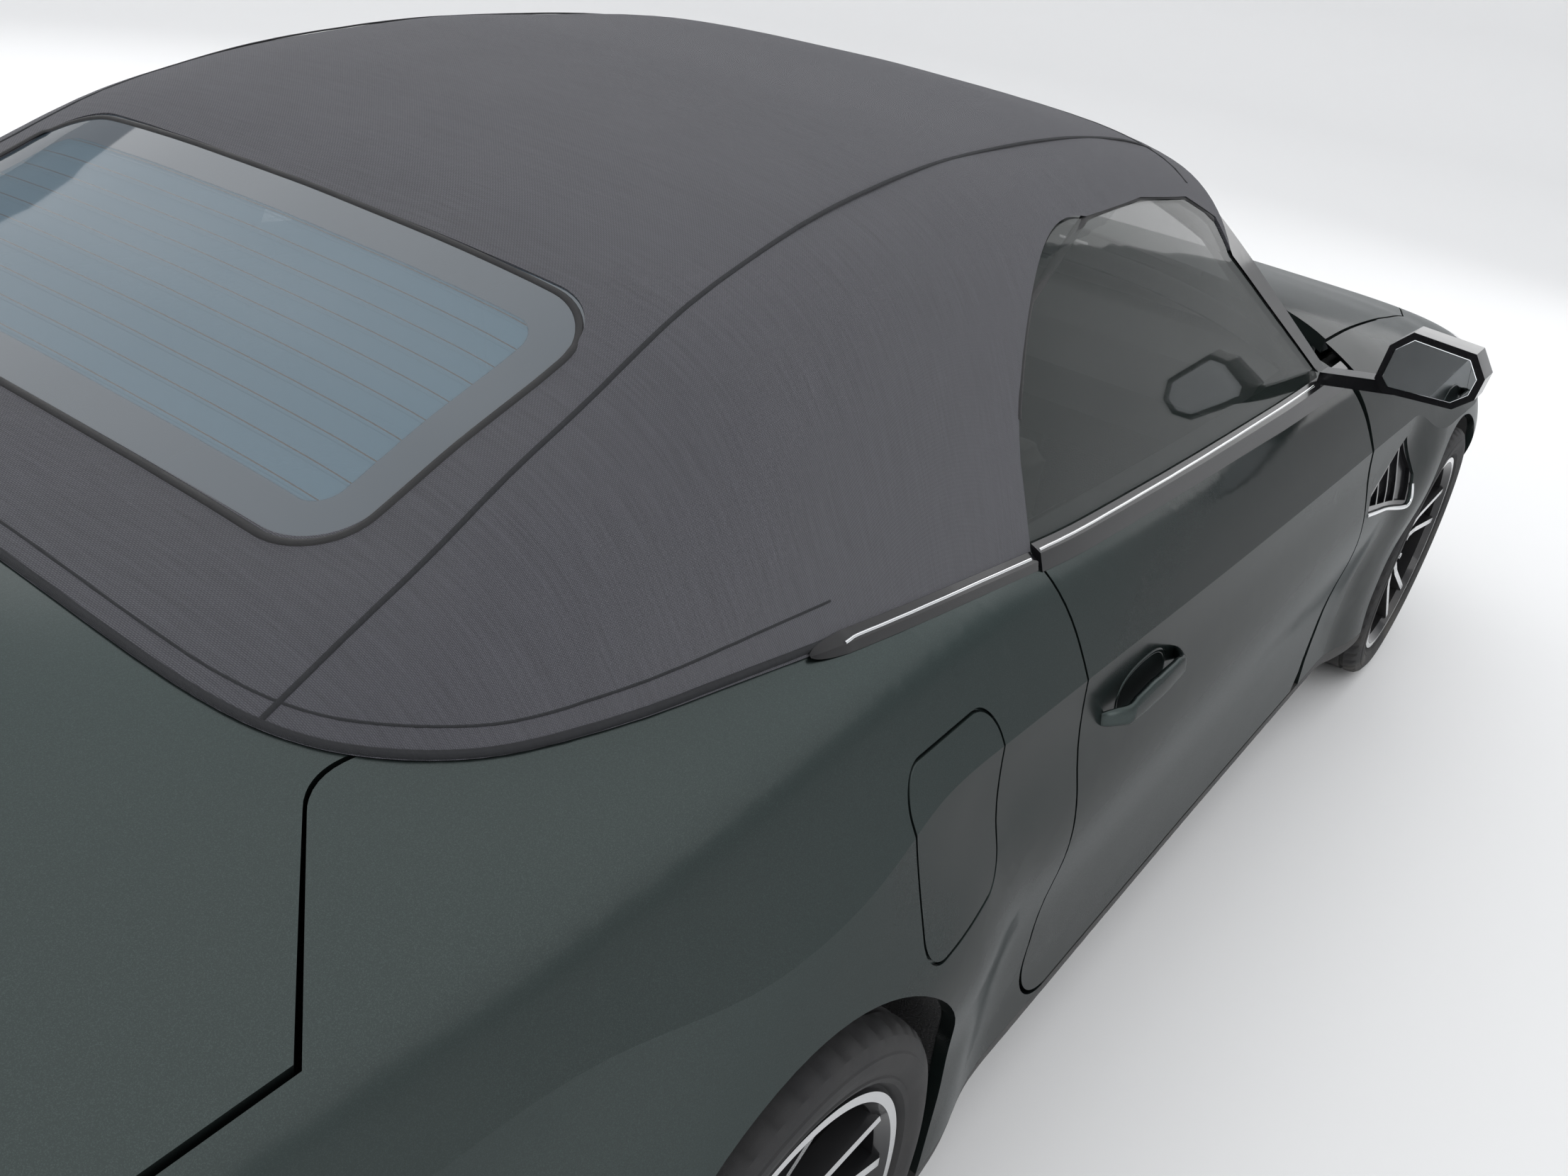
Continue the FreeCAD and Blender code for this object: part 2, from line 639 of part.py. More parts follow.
def grille():
    """The grille: a ring frame with curved slats across it, and the two lower intakes."""
    parts = []
    for shape, pitch in ((grille_outline(0), 46), (intake_outline(0), 46)):
        whole = side_ring(6).common(prism_x(shape, WING_FRONT, NOSE_X + 50)).cut(side_ring(PANEL + 6))
        inner = prism_x(grown(shape, -14), WING_FRONT, NOSE_X + 50)
        slats = [box(1900, NOSE_X + 60, -900, 900, z, z + 12) for z in range(240, 600, pitch)]
        parts.append(largest(whole.cut(inner.cut(Part.makeCompound(slats)))))
    return Part.makeCompound([parts[0], parts[1], mirrored(parts[1])])


def headlamps():
    """Both headlamps, wrapped around the corners of the nose."""
    lamp = OUTER.common(box(WING_FRONT + SEAT, NOSE_X + 10, HEADLAMP_INNER, 1000, LAMP_LOW, 1200))
    lamp = lamp.cut(BONNET_ZONE).cut(side_ring(LAMP_DEPTH).common(below_top(30)))
    return pair(largest(lamp))


def rear_bumper():
    """The rear bumper with its tail pipe cut-outs."""
    whole = SKIN.cut(box(REAR_AXLE - 200, NOSE_X + 10, -1100, 1100, 0, 1200))
    whole = whole.cut(box(TAIL_X - 10, 0, -1100, 1100, BUMPER_TOP_REAR, 1200)).cut(ARCH_HOLES)
    for y in PIPE_Y:
        hole = cylinder(PIPE_RADIUS + 8, (-2150, y, PIPE_Z), (-2460, y, PIPE_Z))
        whole = whole.cut(hole).cut(mirrored(hole))
    return largest(whole)


PIPE_Y = (395.0, 505.0)
PIPE_Z = 262.0
PIPE_RADIUS = 48.0


def tonneau_lid():
    """The lid over the roof compartment, between the roof and the boot lid."""
    return largest(OUTER.common(both(lid_corner(0))).cut(below_top(LID)))


def boot_lid():
    """The boot lid: deck and rear face in one, with lamp recesses and a bare plate recess."""
    zone = box(TAIL_X - 10, BOOT_FRONT, -LID_HALF, LID_HALF, LID_REAR_Z, 1200)
    lid = OUTER.common(zone).cut(LID_INNER)
    lamps = both(box(TAIL_X - 10, -2150, BOOT_LAMP_INNER - SEAT, LID_HALF + 1, LAMP_Z[0] - SEAT, LAMP_Z[1] + SEAT))
    lid = lid.cut(lamps.cut(side_ring(BOOT_LAMP_DEPTH + SEAT)))
    plate = box(TAIL_X - 10, TAIL_X + 12, -268, 268, LID_REAR_Z + 12, LID_REAR_Z + 134)
    return largest(lid.cut(plate))


BOOT_LAMP_INNER = 380.0
BOOT_LAMP_DEPTH = 14.0


def boot_lamps():
    """The inner halves of the tail lamps, on the boot lid."""
    zone = box(TAIL_X - 10, -2150, BOOT_LAMP_INNER, LID_HALF, LAMP_Z[0], LAMP_Z[1])
    return pair(largest(OUTER.common(zone).cut(side_ring(BOOT_LAMP_DEPTH))))


def tail_lamps():
    """The outer halves of the tail lamps, wrapped around the corners."""
    zone = box(TAIL_X - 10, -2150, LID_HALF + GAP, 1000, LAMP_Z[0], LAMP_Z[1])
    return pair(largest(OUTER.common(zone).cut(side_ring(PANEL))))


def sill_covers():
    """Both side sills under the doors."""
    side = SKIN.common(box(REAR_AXLE + 200, FRONT_AXLE - 200, 300, 1000, 100, DOOR_BOTTOM - GAP - SEAT))
    return pair(largest(side.cut(ARCH_HOLES)))



# Doors and what they carry

HINGE_AHEAD = 90.0
HINGE_IN = 30.0
HINGE_DROP = 88.0
HINGE_LEAF = 10.0
HINGE_LEVELS = (400.0, 655.0)
HINGE_X = size("door_front") + HINGE_AHEAD
HINGE_Y = side_half(HINGE_X, HINGE_LEVELS[0]) - HINGE_IN
RUNNING = 0.3
GLASS_IN = 3.0


def door():
    """The left door: outer skin to inner trim, with a pocket and two hinge arms."""
    panel = largest(OUTER.common(door_zone()))
    panel = panel.cut(box(-380, 600, 600, 752, 300, 470)).cut(box(-300, 560, 600, 736, 560, 800))
    parts = [panel]
    r = size("hinge_radius")
    for z in HINGE_LEVELS:
        parts.append(cylinder(r, (HINGE_X, HINGE_Y, z - r), (HINGE_X, HINGE_Y, z + r)))
        parts.append(box(HINGE_X - r, HINGE_X + r, HINGE_Y - HINGE_DROP, HINGE_Y, z - r, z + r))
        parts.append(box(size("door_front") - 80, HINGE_X, HINGE_Y - HINGE_DROP, HINGE_Y - HINGE_DROP + HINGE_LEAF,
                         z - r, z + r))
    return fused(parts)


def window_outline(grow):
    """The side window in side view, grown by a margin: sill, upright rear edge, arc, head, pillar."""
    rear = size("door_rear") + 2 - grow
    return [(600 + grow, 880), (585 + grow, 952), (188 + grow, 1196), (162 + grow, 1248 + grow),
            (60, 1284 + grow), (-130, 1298 + grow), (-330 - grow, 1291 + grow),
            (-572 - grow * 0.7, 1215 + grow * 0.7, True), (rear + 3, 1060), (rear, 880)]


def door_glass():
    """The left side window, leaning in with the roof's side."""
    pane = below_roof(GLASS_IN).common(prism_y(window_outline(0), 300, 900))
    return largest(pane.cut(below_roof(GLASS_IN + size("glass"))).cut(below_top(-SEAT)))


def belt_strip(x0, x1):
    """The left moulding along the foot of the glass or roof between two places."""
    zone = box(x0, x1, 300, 1000, 800, 1100)
    strip = below_roof(-13).common(zone).common(below_top(-14)).cut(below_roof(-SEAT))
    return largest(strip.cut(below_top(-SEAT)))


MIRROR_BACK = 552.0
MIRROR_DEPTH = 98.0
MIRROR_FACE = [(862, 984), (884, 964), (1006, 972), (1036, 1000), (1040, 1040), (1012, 1078), (900, 1084),
               (868, 1050)]
HANDLE = (-600.0, -345.0, 735.0)


def door_trim():
    """The left door's moulding with its mirror, and its pull handle."""
    strip = belt_strip(size("door_rear") + 1, size("door_front") - 24)
    shell = prism_x(MIRROR_FACE, MIRROR_BACK, MIRROR_BACK + MIRROR_DEPTH)
    shell = shell.makeFillet(26, [e for e in shell.Edges if e.BoundBox.XMin > MIRROR_BACK + MIRROR_DEPTH - 1])
    stalk = prism_x([(764, 938), (900, 962), (940, 975), (940, 994), (900, 986), (764, 962)],
                    MIRROR_BACK + 10, MIRROR_BACK + 66)
    mirror = fused([strip, shell, stalk.cut(below_top(-SEAT))])
    low = HANDLE[2]
    bar = prism_y([(HANDLE[0], low), (HANDLE[1], low), (HANDLE[1], low + 30), (HANDLE[0], low + 30)], 700, 1000)
    grip = side_ring(-26).common(bar).cut(side_ring(-14))
    feet = [side_ring(-20).common(box(x, x + 24, 700, 1000, low + 3, low + 27)).cut(side_ring(-SEAT))
            for x in (HANDLE[0] + 2, HANDLE[1] - 26)]
    return Part.makeCompound([largest(mirror), largest(fused([grip] + feet))])


# Windscreen, its frame and the fabric roof

def behind_header(shift=0.0):
    """The plan region behind the head of the windscreen frame, moved forward by a shift."""
    return prism_z([(-2400, -900), (150 + shift, -900), (150 + shift, -770), (275 + shift, 0, True),
                    (150 + shift, 770), (150 + shift, 900), (-2400, 900)], 500, 1500)


def windscreen():
    """The curved windscreen pane."""
    outline_prism = screen_prism(SCREEN_EDGE, SCREEN_LOW, SCREEN_HIGH)
    return largest(screen_slab(0, size("glass")).common(outline_prism))


def screen_frame():
    """The windscreen frame: both pillars, the header and the lower rail, in one."""
    frame = ROOF.common(screen_slab(0, size("pillar"))).common(screen_prism(1.0, FRAME_LOW, 1.12, 0, 150))
    frame = frame.cut(screen_prism(SCREEN_EDGE, SCREEN_LOW, SCREEN_HIGH, SEAT))
    frame = frame.cut(behind_header()).cut(both(DOORS).common(below_top(-GAP - 1)))
    door_top = top_height(650, size("door_inner")) + GAP + 3
    frame = frame.cut(both(box(300, size("door_front") + GAP, size("door_inner") - GAP, 900, 800, door_top)))
    return largest(frame.cut(both(prism_y(window_outline(GAP), 300, 900))))


REAR_PANE = (-1318.0, 195.0, 448.0, 70.0)
REAR_SLOPE = 0.46


def rear_pane_prism(grow=0.0):
    """A prism square to the roof's rear slope through the rounded outline of the rear window."""
    x, half_long, half_wide, r = REAR_PANE
    angle = math.degrees(math.asin(REAR_SLOPE))
    a, b, r = half_long + grow, half_wide + grow, r + grow
    k = r * (1 - math.sqrt(0.5))
    flat = [(a - r, -b), (a - k, -b + k, True), (a, -b + r), (a, b - r), (a - k, b - k, True), (a - r, b),
            (-a + r, b), (-a + k, b - k, True), (-a, b - r), (-a, -b + r), (-a + k, -b + k, True), (-a + r, -b)]
    prism = prism_z(flat, -160, 160)
    prism.Placement = Placement(Vector(x, 0, roof_height(x, 0)), Rotation(Vector(0, 1, 0), -angle))
    return prism


def soft_top():
    """The fabric roof with its lining, from the windscreen's header to the lid behind it."""
    top = ROOF.common(behind_header(-SEAT)).cut(below_top(-SEAT)).cut(below_roof(size("top_thickness")))
    top = top.cut(both(prism_y(window_outline(GAP), 300, 900))).cut(rear_pane_prism(SEAT))
    return largest(top)


def rear_window():
    """The heated glass rear window, set in the fabric."""
    pane = below_roof(2).common(rear_pane_prism())
    return largest(pane.cut(below_roof(2 + size("glass"))))


def roof_side(x, z):
    """Half width of the greenhouse at a place along the car and a height."""
    low, high = size("belt_half_width") * 0.5, size("belt_half_width") * 1.09
    for step in range(30):
        middle = (low + high) / 2
        if roof_height(x, middle) > z:
            low = middle
        else:
            high = middle
    return low


QUARTER_TRIM = (-1125.0, 12.0, 14.0)
TRIM_STATIONS = 9
TRIM_STAND = 0.7
TRIM_LIFT = 0.6


def quarter_strip():
    """The left moulding behind the door: a straight-sided strip through short sections."""
    start, wide, tall = QUARTER_TRIM
    end = size("door_rear") - GAP
    sections = []
    for i in range(TRIM_STATIONS):
        x = start + (end - start) * i / (TRIM_STATIONS - 1)
        foot = size("belt_half_width")
        for step in range(20):
            foot = roof_side(x, top_height(x, foot) + SEAT)
        inner = foot + TRIM_STAND
        crown = top_height(x, inner) + tall
        foot_line = [(inner + wide * share, top_height(x, inner + wide * share) + TRIM_LIFT)
                     for share in (0.0, 0.33, 0.67, 1.0)]
        corners = foot_line + [
            (inner + wide - 3, top_height(x, inner + wide) + tall - 2), (roof_side(x, crown) + TRIM_STAND, crown)]
        sections.append(Part.makePolygon([Vector(x, y, z) for y, z in corners + corners[:1]]))
    return Part.makeLoft(sections, True, True)


def quarter_trims():
    """The mouldings along the foot of the roof, behind both doors."""
    return pair(quarter_strip())


def cowl_panel():
    """The dark panel under the bonnet's rear edge, ahead of the windscreen."""
    zone = box(700, BONNET_REAR + 60, -630, 630, 700, 1100)
    panel = below_top(40).common(zone).cut(below_top(46))
    panel = panel.cut(screen_slab(-SEAT, 400)).common(prism_z(bonnet_plan(60), 500, 1200))
    return largest(panel.cut(prism_z([(BONNET_CORNER + 60, -900), (BONNET_REAR + 60, 0, True),
                                      (BONNET_CORNER + 60, 900), (3000, 900), (3000, -900)], 500, 1200)))


# Structure: floor, bulkheads, pillars, rails, towers and boot

BULKHEAD = 965.0
SHELF = -1052.0
BOOT_FLOOR = 380.0
FRAME_TOP = 612.0


def sill_box(grow):
    """A left inner sill, grown by a margin."""
    return box(REAR_AXLE + 385 - grow, FRONT_AXLE - 385 + grow, size("door_inner") - grow, 890,
               150 - grow, DOOR_BOTTOM - GAP + grow)


def floor_plate(grow):
    """The floor's plate, grown by a margin."""
    half = size("door_inner") - SEAT
    return box(SHELF - 36 - grow, BULKHEAD + 36 + grow, -half, half, 150 - grow, FLOOR + grow)


def kept_inside(parts, floor_too=False):
    """Parts of the structure as one shape, kept off the panels, wheels, doors and the floor."""
    shape = fused(parts).common(FRAME_HULL)
    for x in (FRONT_AXLE, REAR_AXLE):
        shape = shape.cut(both(across(size("arch_radius") + 5, x, WHEEL_Z, 602, 1100)))
    shape = shape.cut(both(DOORS))
    if floor_too:
        return shape
    return shape.cut(both(sill_box(SEAT))).cut(floor_plate(SEAT)).cut(box(SHELF - 40, BULKHEAD + 40, -96, 96, 0, 306))


def floor_pan():
    """The floor, the tunnel over the drive shaft and both inner sills with their jacking points."""
    slot = box(SHELF - 40, BULKHEAD + 40, -96, 96, 0, 306)
    plate = largest(kept_inside([floor_plate(0)], True).cut(slot.common(box(-900, 900, -96, 96, 0, 306))))
    tunnel = largest(box(SHELF + SEAT, BULKHEAD - SEAT, -120, 120, FLOOR + SEAT, 330).cut(slot))
    pads = [box(x - 45, x + 45, 730, 800, UNDER + 3, 152) for x in JACK_X]
    sill = largest(kept_inside([sill_box(0)] + pads, True))
    return Part.makeCompound([plate, tunnel, sill, mirrored(sill)])


def front_structure():
    """The front bulkhead, pillars, side rails, spring towers and crossmembers."""
    m = both
    tub = kept_inside([
        box(BULKHEAD, BULKHEAD + 36, -760, 760, 160, 860),
        box(BULKHEAD, BULKHEAD + 150, -640, 640, 740, 860),
        m(box(792, BULKHEAD + 20, 640, 765, 160, 900)),
        m(box(BULKHEAD + 10, 1160, 640, 900, 160, 560)),
        m(box(BULKHEAD + 20, 2160, 400, 470, 400, 500)),
        box(2140, 2180, -560, 560, 300, 640),
        box(2160, 2440, -400, 400, FRAME_TOP, 650),
        m(side_ring(LAMP_DEPTH + SEAT).common(box(1975, 2190, 430, 820, LAMP_LOW + 6, LAMP_LOW + 26))),
        m(box(1470, 1614, 430, 470, 480, 800)),
        m(box(1470, 1614, 430, 600, 620, 800)),
        m(box(BULKHEAD + 20, 1614, 520, 600, 730, 800)),
        m(box(880, BULKHEAD + 20, 640, 686, 850, 890)),
    ])
    tub = tub.cut(screen_slab(-80, size("pillar") + SEAT).common(screen_prism(1.0, FRAME_LOW, 1.12, 1, 150)))
    tub = tub.cut(m(box(870, 1140, 640, 690, 892, 1000)))
    stop = below_top(LID + SEAT).common(box(*BONNET_STOP))
    return largest(fused([tub, m(bonnet_bracket()), m(stop)] + [m(hinge_bracket(z)) for z in HINGE_LEVELS]))


def rear_structure():
    """The rear bulkhead with its posts, the boot's floor and walls and the rear crossmembers."""
    m = both
    tub = kept_inside([
        m(box(SHELF - 36, size("door_rear") + 60, 700, 900, 160, 1000)),
        box(SHELF - 36, SHELF, -890, 890, 160, 930),
        box(-2310, SHELF - 30, -590, 590, BOOT_FLOOR, BOOT_FLOOR + 18),
        m(box(-2250, SHELF - 30, 572, 590, BOOT_FLOOR, 1000)),
        box(-2330, -2306, -590, 590, BOOT_FLOOR, 622),
        m(box(-2330, -2180, 572, 860, 560, LID_REAR_Z - GAP)),
        m(box(-2330, -2180, LID_HALF + GAP, 860, 560, 690)),
        m(box(-2200, SHELF - 30, 588, 860, 735, 790)),
        box(-2420, -2320, -500, 500, 450, 540),
    ])
    tub = tub.cut(prism_y(flap_outline(-12), -1000, -790))
    neck = cylinder(42, (FLAP_CENTRE[0], -780, FLAP_CENTRE[1]), (FLAP_CENTRE[0], -812, FLAP_CENTRE[1]))
    return largest(fused([tub, m(lid_stops()), neck]))


JACK_X = (820.0, -820.0)
BONNET_STOP = (2105, 2145, 470, 510, 630, 1100)


def hinge_bracket(z):
    """The pillar's half of a left door hinge: two leaves above and below the door's arm."""
    r = size("hinge_radius")
    leaves = []
    for low, high in ((z - r - RUNNING - 12, z - r - RUNNING), (z + r + RUNNING, z + r + RUNNING + 12)):
        leaves.append(box(HINGE_X - r, HINGE_X + r, 760, HINGE_Y, low, high))
        leaves.append(cylinder(r, (HINGE_X, HINGE_Y, low), (HINGE_X, HINGE_Y, high)))
    return Part.makeCompound(leaves)


def bonnet_bracket():
    """The body's half of the left bonnet hinge."""
    r = size("hinge_radius")
    y = BONNET_HINGE_Y
    knuckles = [across(r, BONNET_HINGE_X, BONNET_HINGE_Z, y - 20, y - 10 - RUNNING),
                across(r, BONNET_HINGE_X, BONNET_HINGE_Z, y + 10 + RUNNING, y + 20)]
    webs = [box(BONNET_HINGE_X - r, BONNET_HINGE_X + r, k.BoundBox.YMin, k.BoundBox.YMax, 870, BONNET_HINGE_Z)
            for k in knuckles]
    return Part.makeCompound(knuckles + webs)


def lid_stops():
    """Rubber stops under the left edges of both rear lids."""
    spots = [(BOOT_FRONT - 44, BOOT_FRONT - 20, 562, 588, 800),
             (TONNEAU_FRONT - 60, TONNEAU_FRONT - 30, 562, 588, 800),
             (BOOT_FRONT + BOOT_GAP + 20, BOOT_FRONT + BOOT_GAP + 50, 562, 588, 800)]
    under = below_top(LID + SEAT)
    return Part.makeCompound([under.common(box(x0, x1, y0, y1, z, 1100)) for x0, x1, y0, y1, z in spots])


def arch_liners():
    """The four wheel arch liners."""
    made = []
    r = size("arch_radius")
    for x in (FRONT_AXLE, REAR_AXLE):
        shell = across(r + 4.6, x, WHEEL_Z, 606, 930).cut(across(r + 1, x, WHEEL_Z, 600, 1000))
        shell = shell.common(box(x - 400, x + 400, 0, 1000, DOOR_BOTTOM, 1000)).common(FRAME_HULL)
        made.append(pair(largest(shell)))
    return Part.makeCompound([s for c in made for s in c.Solids])


# Wheels and axles, modelled at the wheel's centre with its axle along Y, the left side out at +Y

DISC_IN = 45.0
DISC_THICK = 30.0
BARREL = 240.0
SPOKE_PAIRS = 5
KING_IN = 15.0


def revolved(profile):
    """A ring around the Y axis from a profile of (y, radius)."""
    wire = outline([((0, y, r),) for y, r in profile])
    return Part.Face(wire).revolve(Vector(0, 0, 0), Vector(0, 1, 0), 360)


def tyre():
    """A tyre without its tread."""
    half = size("tyre_width") / 2
    seat = size("rim_radius") + SEAT
    out = size("tyre_radius")
    points = [(-half + 19, seat), (-half + 19, seat + 13), (-half + 4, seat + 24), (-half, seat + 42),
              (-half + 4, out - 16), (-half + 22, out - 1), (-half + 60, out)]
    return revolved(points + [(-y, r) for y, r in reversed(points)])


def spoke(angle, lean):
    """One blade of a double spoke, from the hub to the rim."""
    sections = []
    for radius, y0, y1, half, turn in ((52, 52, 88, 17, 0.0), (140, 64, 96, 13, lean * 0.6),
                                       (BARREL + 3, 84, 116, 12, lean)):
        corners = [Vector(s * half, y, radius) for s, y in ((-1, y0), (1, y0), (0.62, y1), (-0.62, y1))]
        turned = [Rotation(Vector(0, 1, 0), angle + turn).multVec(c) for c in corners]
        sections.append(Part.makePolygon(turned + [turned[0]]))
    return Part.makeLoft(sections, True, True)


def rim():
    """A rim with five double spokes, fixed to its brake disc and hub."""
    seat = size("rim_radius")
    half = size("tyre_width") / 2 - 18
    barrel = revolved([(-half - 8, BARREL + 8), (-half - 8, seat + 8), (-half, seat + 8), (-half, seat),
                       (half, seat), (half, seat + 8), (half + 8, seat + 8), (half + 8, BARREL + 10),
                       (half - 8, BARREL), (-half + 20, BARREL)])
    blades = []
    for i in range(SPOKE_PAIRS):
        for side in (-1, 1):
            blades.append(spoke(i * 360 / SPOKE_PAIRS + side * 7, side * 5))
    disc = revolved([(-DISC_IN, 0), (-DISC_IN, size("disc_radius")), (-DISC_IN + DISC_THICK, size("disc_radius")),
                     (-DISC_IN + DISC_THICK, 78), (56, 62), (88, 58), (92, 30), (92, 0)])
    return largest(fused([barrel, disc] + blades))


WHEELS = [("front_left", 1, 1), ("front_right", 1, -1), ("rear_left", 0, 1), ("rear_right", 0, -1)]


def placed(shape, front, side):
    """A wheel part moved to its corner of the car."""
    if side < 0:
        shape = mirrored(shape)
    return shape.translated(Vector(FRONT_AXLE if front else REAR_AXLE, side * WHEEL_Y, WHEEL_Z))


BALL_Z = 216.0
UPRIGHT_IN = (93.0, 53.0)


def upright(steered):
    """A wheel carrier with its brake caliper, about the wheel's centre, left side."""
    inner, outer = -UPRIGHT_IN[0], -UPRIGHT_IN[1]
    low = -BALL_Z + 8.4
    parts = [box(-35, 35, inner, outer, low, -low), across(45, 0, 0, inner, -DISC_IN - RUNNING)]
    if steered:
        for s in (-1, 1):
            z0, z1 = sorted((s * (BALL_Z - 8.4), s * (BALL_Z - 18)))
            parts.append(box(-14, 14, inner + 3, 0 - KING_IN + 12, z0, z1))
    else:
        parts[0] = box(-35, 35, inner, outer, -120, 120)
    parts += [box(-128, -30, inner + 10, outer, -40, 40), box(-224, -118, inner + 10, -DISC_IN - 5, -58, 58),
              box(-224, -196, inner + 10, 14, -58, 58), box(-224, -118, -DISC_IN + DISC_THICK + 5, 14, -58, 58)]
    return largest(fused(parts))


def knuckle():
    """The steered wheel carrier of the left front wheel."""
    return placed(upright(True), 1, 1)


def front_axle():
    """The front crossmember with its steering rack, four control arms and two spring struts."""
    ball = WHEEL_Y - KING_IN
    low = WHEEL_Z - BALL_Z
    arm_low = prism_x([(440, low + 80), (480, low + 70), (640, low + 8), (700, low - 7.5), (ball + 12, low - 7.5),
                       (ball + 12, low + 8), (700, low + 8), (640, low + 30), (480, low + 105), (440, low + 105)],
                      FRONT_AXLE - 10, FRONT_AXLE + 10)
    high = WHEEL_Z + BALL_Z
    arm_high = prism_x([(470 + SEAT, high - 62), (600, high - 40), (700, high - 8), (ball + 12, high - 8),
                        (ball + 12, high + 7.5), (700, high + 7.5), (600, high - 16), (470 + SEAT, high - 40)],
                       FRONT_AXLE - 10, FRONT_AXLE + 10)
    cross = box(FRONT_AXLE - 60, FRONT_AXLE + 60, -450, 450, low + 70, low + 125)
    rack = across(26, FRONT_AXLE - 86, low + 98, -420, 420)
    strut = cylinder(24, (FRONT_AXLE, 540, low + 70), (FRONT_AXLE, 540, 480 - SEAT))
    spring = revolved_upright(FRONT_AXLE, 540, low + 150, 470 - SEAT, 52)
    post = box(FRONT_AXLE - 30, FRONT_AXLE + 30, 405, 445, low + 110, 400 - SEAT)
    return largest(fused([cross, rack] + [both(s) for s in (arm_low, arm_high_link(arm_high), strut, spring, post)]))


def arm_high_link(arm):
    """An upper arm with the bracket that joins it to the spring strut."""
    return arm.fuse(box(FRONT_AXLE - 12, FRONT_AXLE + 12, 500, 560, 470, 505))


def revolved_upright(x, y, z0, z1, radius):
    """A stack of rings standing for a coil spring."""
    turns = 7
    pitch = (z1 - z0) / turns
    rings = [cylinder(radius, (x, y, z0 + i * pitch), (x, y, z0 + i * pitch + pitch * 0.45)) for i in range(turns)]
    return rings[0].fuse(rings[1:] + [cylinder(radius - 12, (x, y, z0), (x, y, z1))])


def rear_axle():
    """The rear crossmember with differential, arms, wheel carriers, springs and propeller shaft."""
    parts = [box(REAR_AXLE - 130, REAR_AXLE + 130, -460, 460, 236, 286),
             cylinder(58, (REAR_AXLE, -100, WHEEL_Z - 22), (REAR_AXLE, 100, WHEEL_Z - 22)),
             box(REAR_AXLE - 90, REAR_AXLE + 150, -80, 80, 250, 372),
             cylinder(26, (REAR_AXLE + 140, 0, 268), (BULKHEAD + 120, 0, 268))]
    for s in (-1, 1):
        carrier = placed(upright(False), 0, s)
        parts.append(carrier)
        parts.append(cylinder(18, (REAR_AXLE, s * 80, WHEEL_Z), (REAR_AXLE, s * 730, WHEEL_Z)))
        for x in (-90, 26):
            parts.append(cylinder(15, (REAR_AXLE + x, s * 440, 236), (REAR_AXLE + x * 0.2, s * 730, 240)))
        parts.append(cylinder(12, (REAR_AXLE + 20, s * 440, 276), (REAR_AXLE + 10, s * 725, 430)))
        parts.append(cylinder(30, (REAR_AXLE - 60, s * 545, 236), (REAR_AXLE - 60, s * 545, BOOT_FLOOR - SEAT)))
    return largest(fused(parts))


def exhaust():
    """The exhaust: two pipes, a silencer across the tail and four tail pipes."""
    parts = [box(-2180, -1760, -420, 420, 190, 330), box(-2000, -1980, -330, -310, 320, BOOT_FLOOR - SEAT),
             box(-2000, -1980, 310, 330, 320, BOOT_FLOOR - SEAT)]
    for s in (-1, 1):
        parts.append(cylinder(24, (-1770, s * 62, 205), (BULKHEAD + 160, s * 62, 205)))
        for y in PIPE_Y:
            pipe = cylinder(PIPE_RADIUS, (-2170, s * y, PIPE_Z), (TAIL_X + 62, s * y, PIPE_Z))
            bore = cylinder(PIPE_RADIUS - 4, (-2200, s * y, PIPE_Z), (TAIL_X, s * y, PIPE_Z))
            parts.append(pipe.cut(bore))
            parts.append(box(-2176, -2150, s * y - 40, s * y + 40, PIPE_Z - 45, PIPE_Z + 45))
    return largest(fused(parts))


def engine():
    """The engine and gearbox as one plain block."""
    block = box(1120, 1640, -290, 290, 320, 800)
    gearbox = box(BULKHEAD + 80, 1130, -150, 150, 330, 560)
    foot = box(FRONT_AXLE - 40, FRONT_AXLE + 40, -200, 200, WHEEL_Z - BALL_Z + 125 + SEAT, 325)
    return fused([block, gearbox, foot])


# Cabin

SEAT_Y = 370.0
SEAT_HALF = 238.0


def front_seats():
    """Both front seats with their head restraints, standing on their rails."""
    side = [(-210, 262), (330, 250), (372, 330), (366, 440), (60, 452), (-60, 462), (-196, 860), (-214, 985),
            (-236, 1096), (-318, 1106), (-330, 985), (-352, 860), (-290, 440)]
    seat = prism_y(side, SEAT_Y - SEAT_HALF, SEAT_Y + SEAT_HALF)
    slope = prism_x([(SEAT_Y - 300, 1200), (SEAT_Y - 300, 860), (SEAT_Y - 190, 860), (SEAT_Y - 120, 940),
                     (SEAT_Y - 120, 1200)], -600, 600)
    seat = seat.cut(slope).cut(slope.mirror(Vector(0, SEAT_Y, 0), Vector(0, 1, 0)))
    rails = [box(-220, 300, SEAT_Y + s * 190 - 20, SEAT_Y + s * 190 + 20, FLOOR + SEAT, 270) for s in (-1, 1)]
    return pair(largest(fused([seat] + rails)))


def rear_seat():
    """The rear bench with its two backs."""
    side = [(SHELF + SEAT, 330 + SEAT), (-560, 330 + SEAT), (-540, 380), (-560, 440), (-860, 420), (-950, 820),
            (-990, 880), (SHELF + SEAT, 890)]
    return prism_y(side, -560, 560)


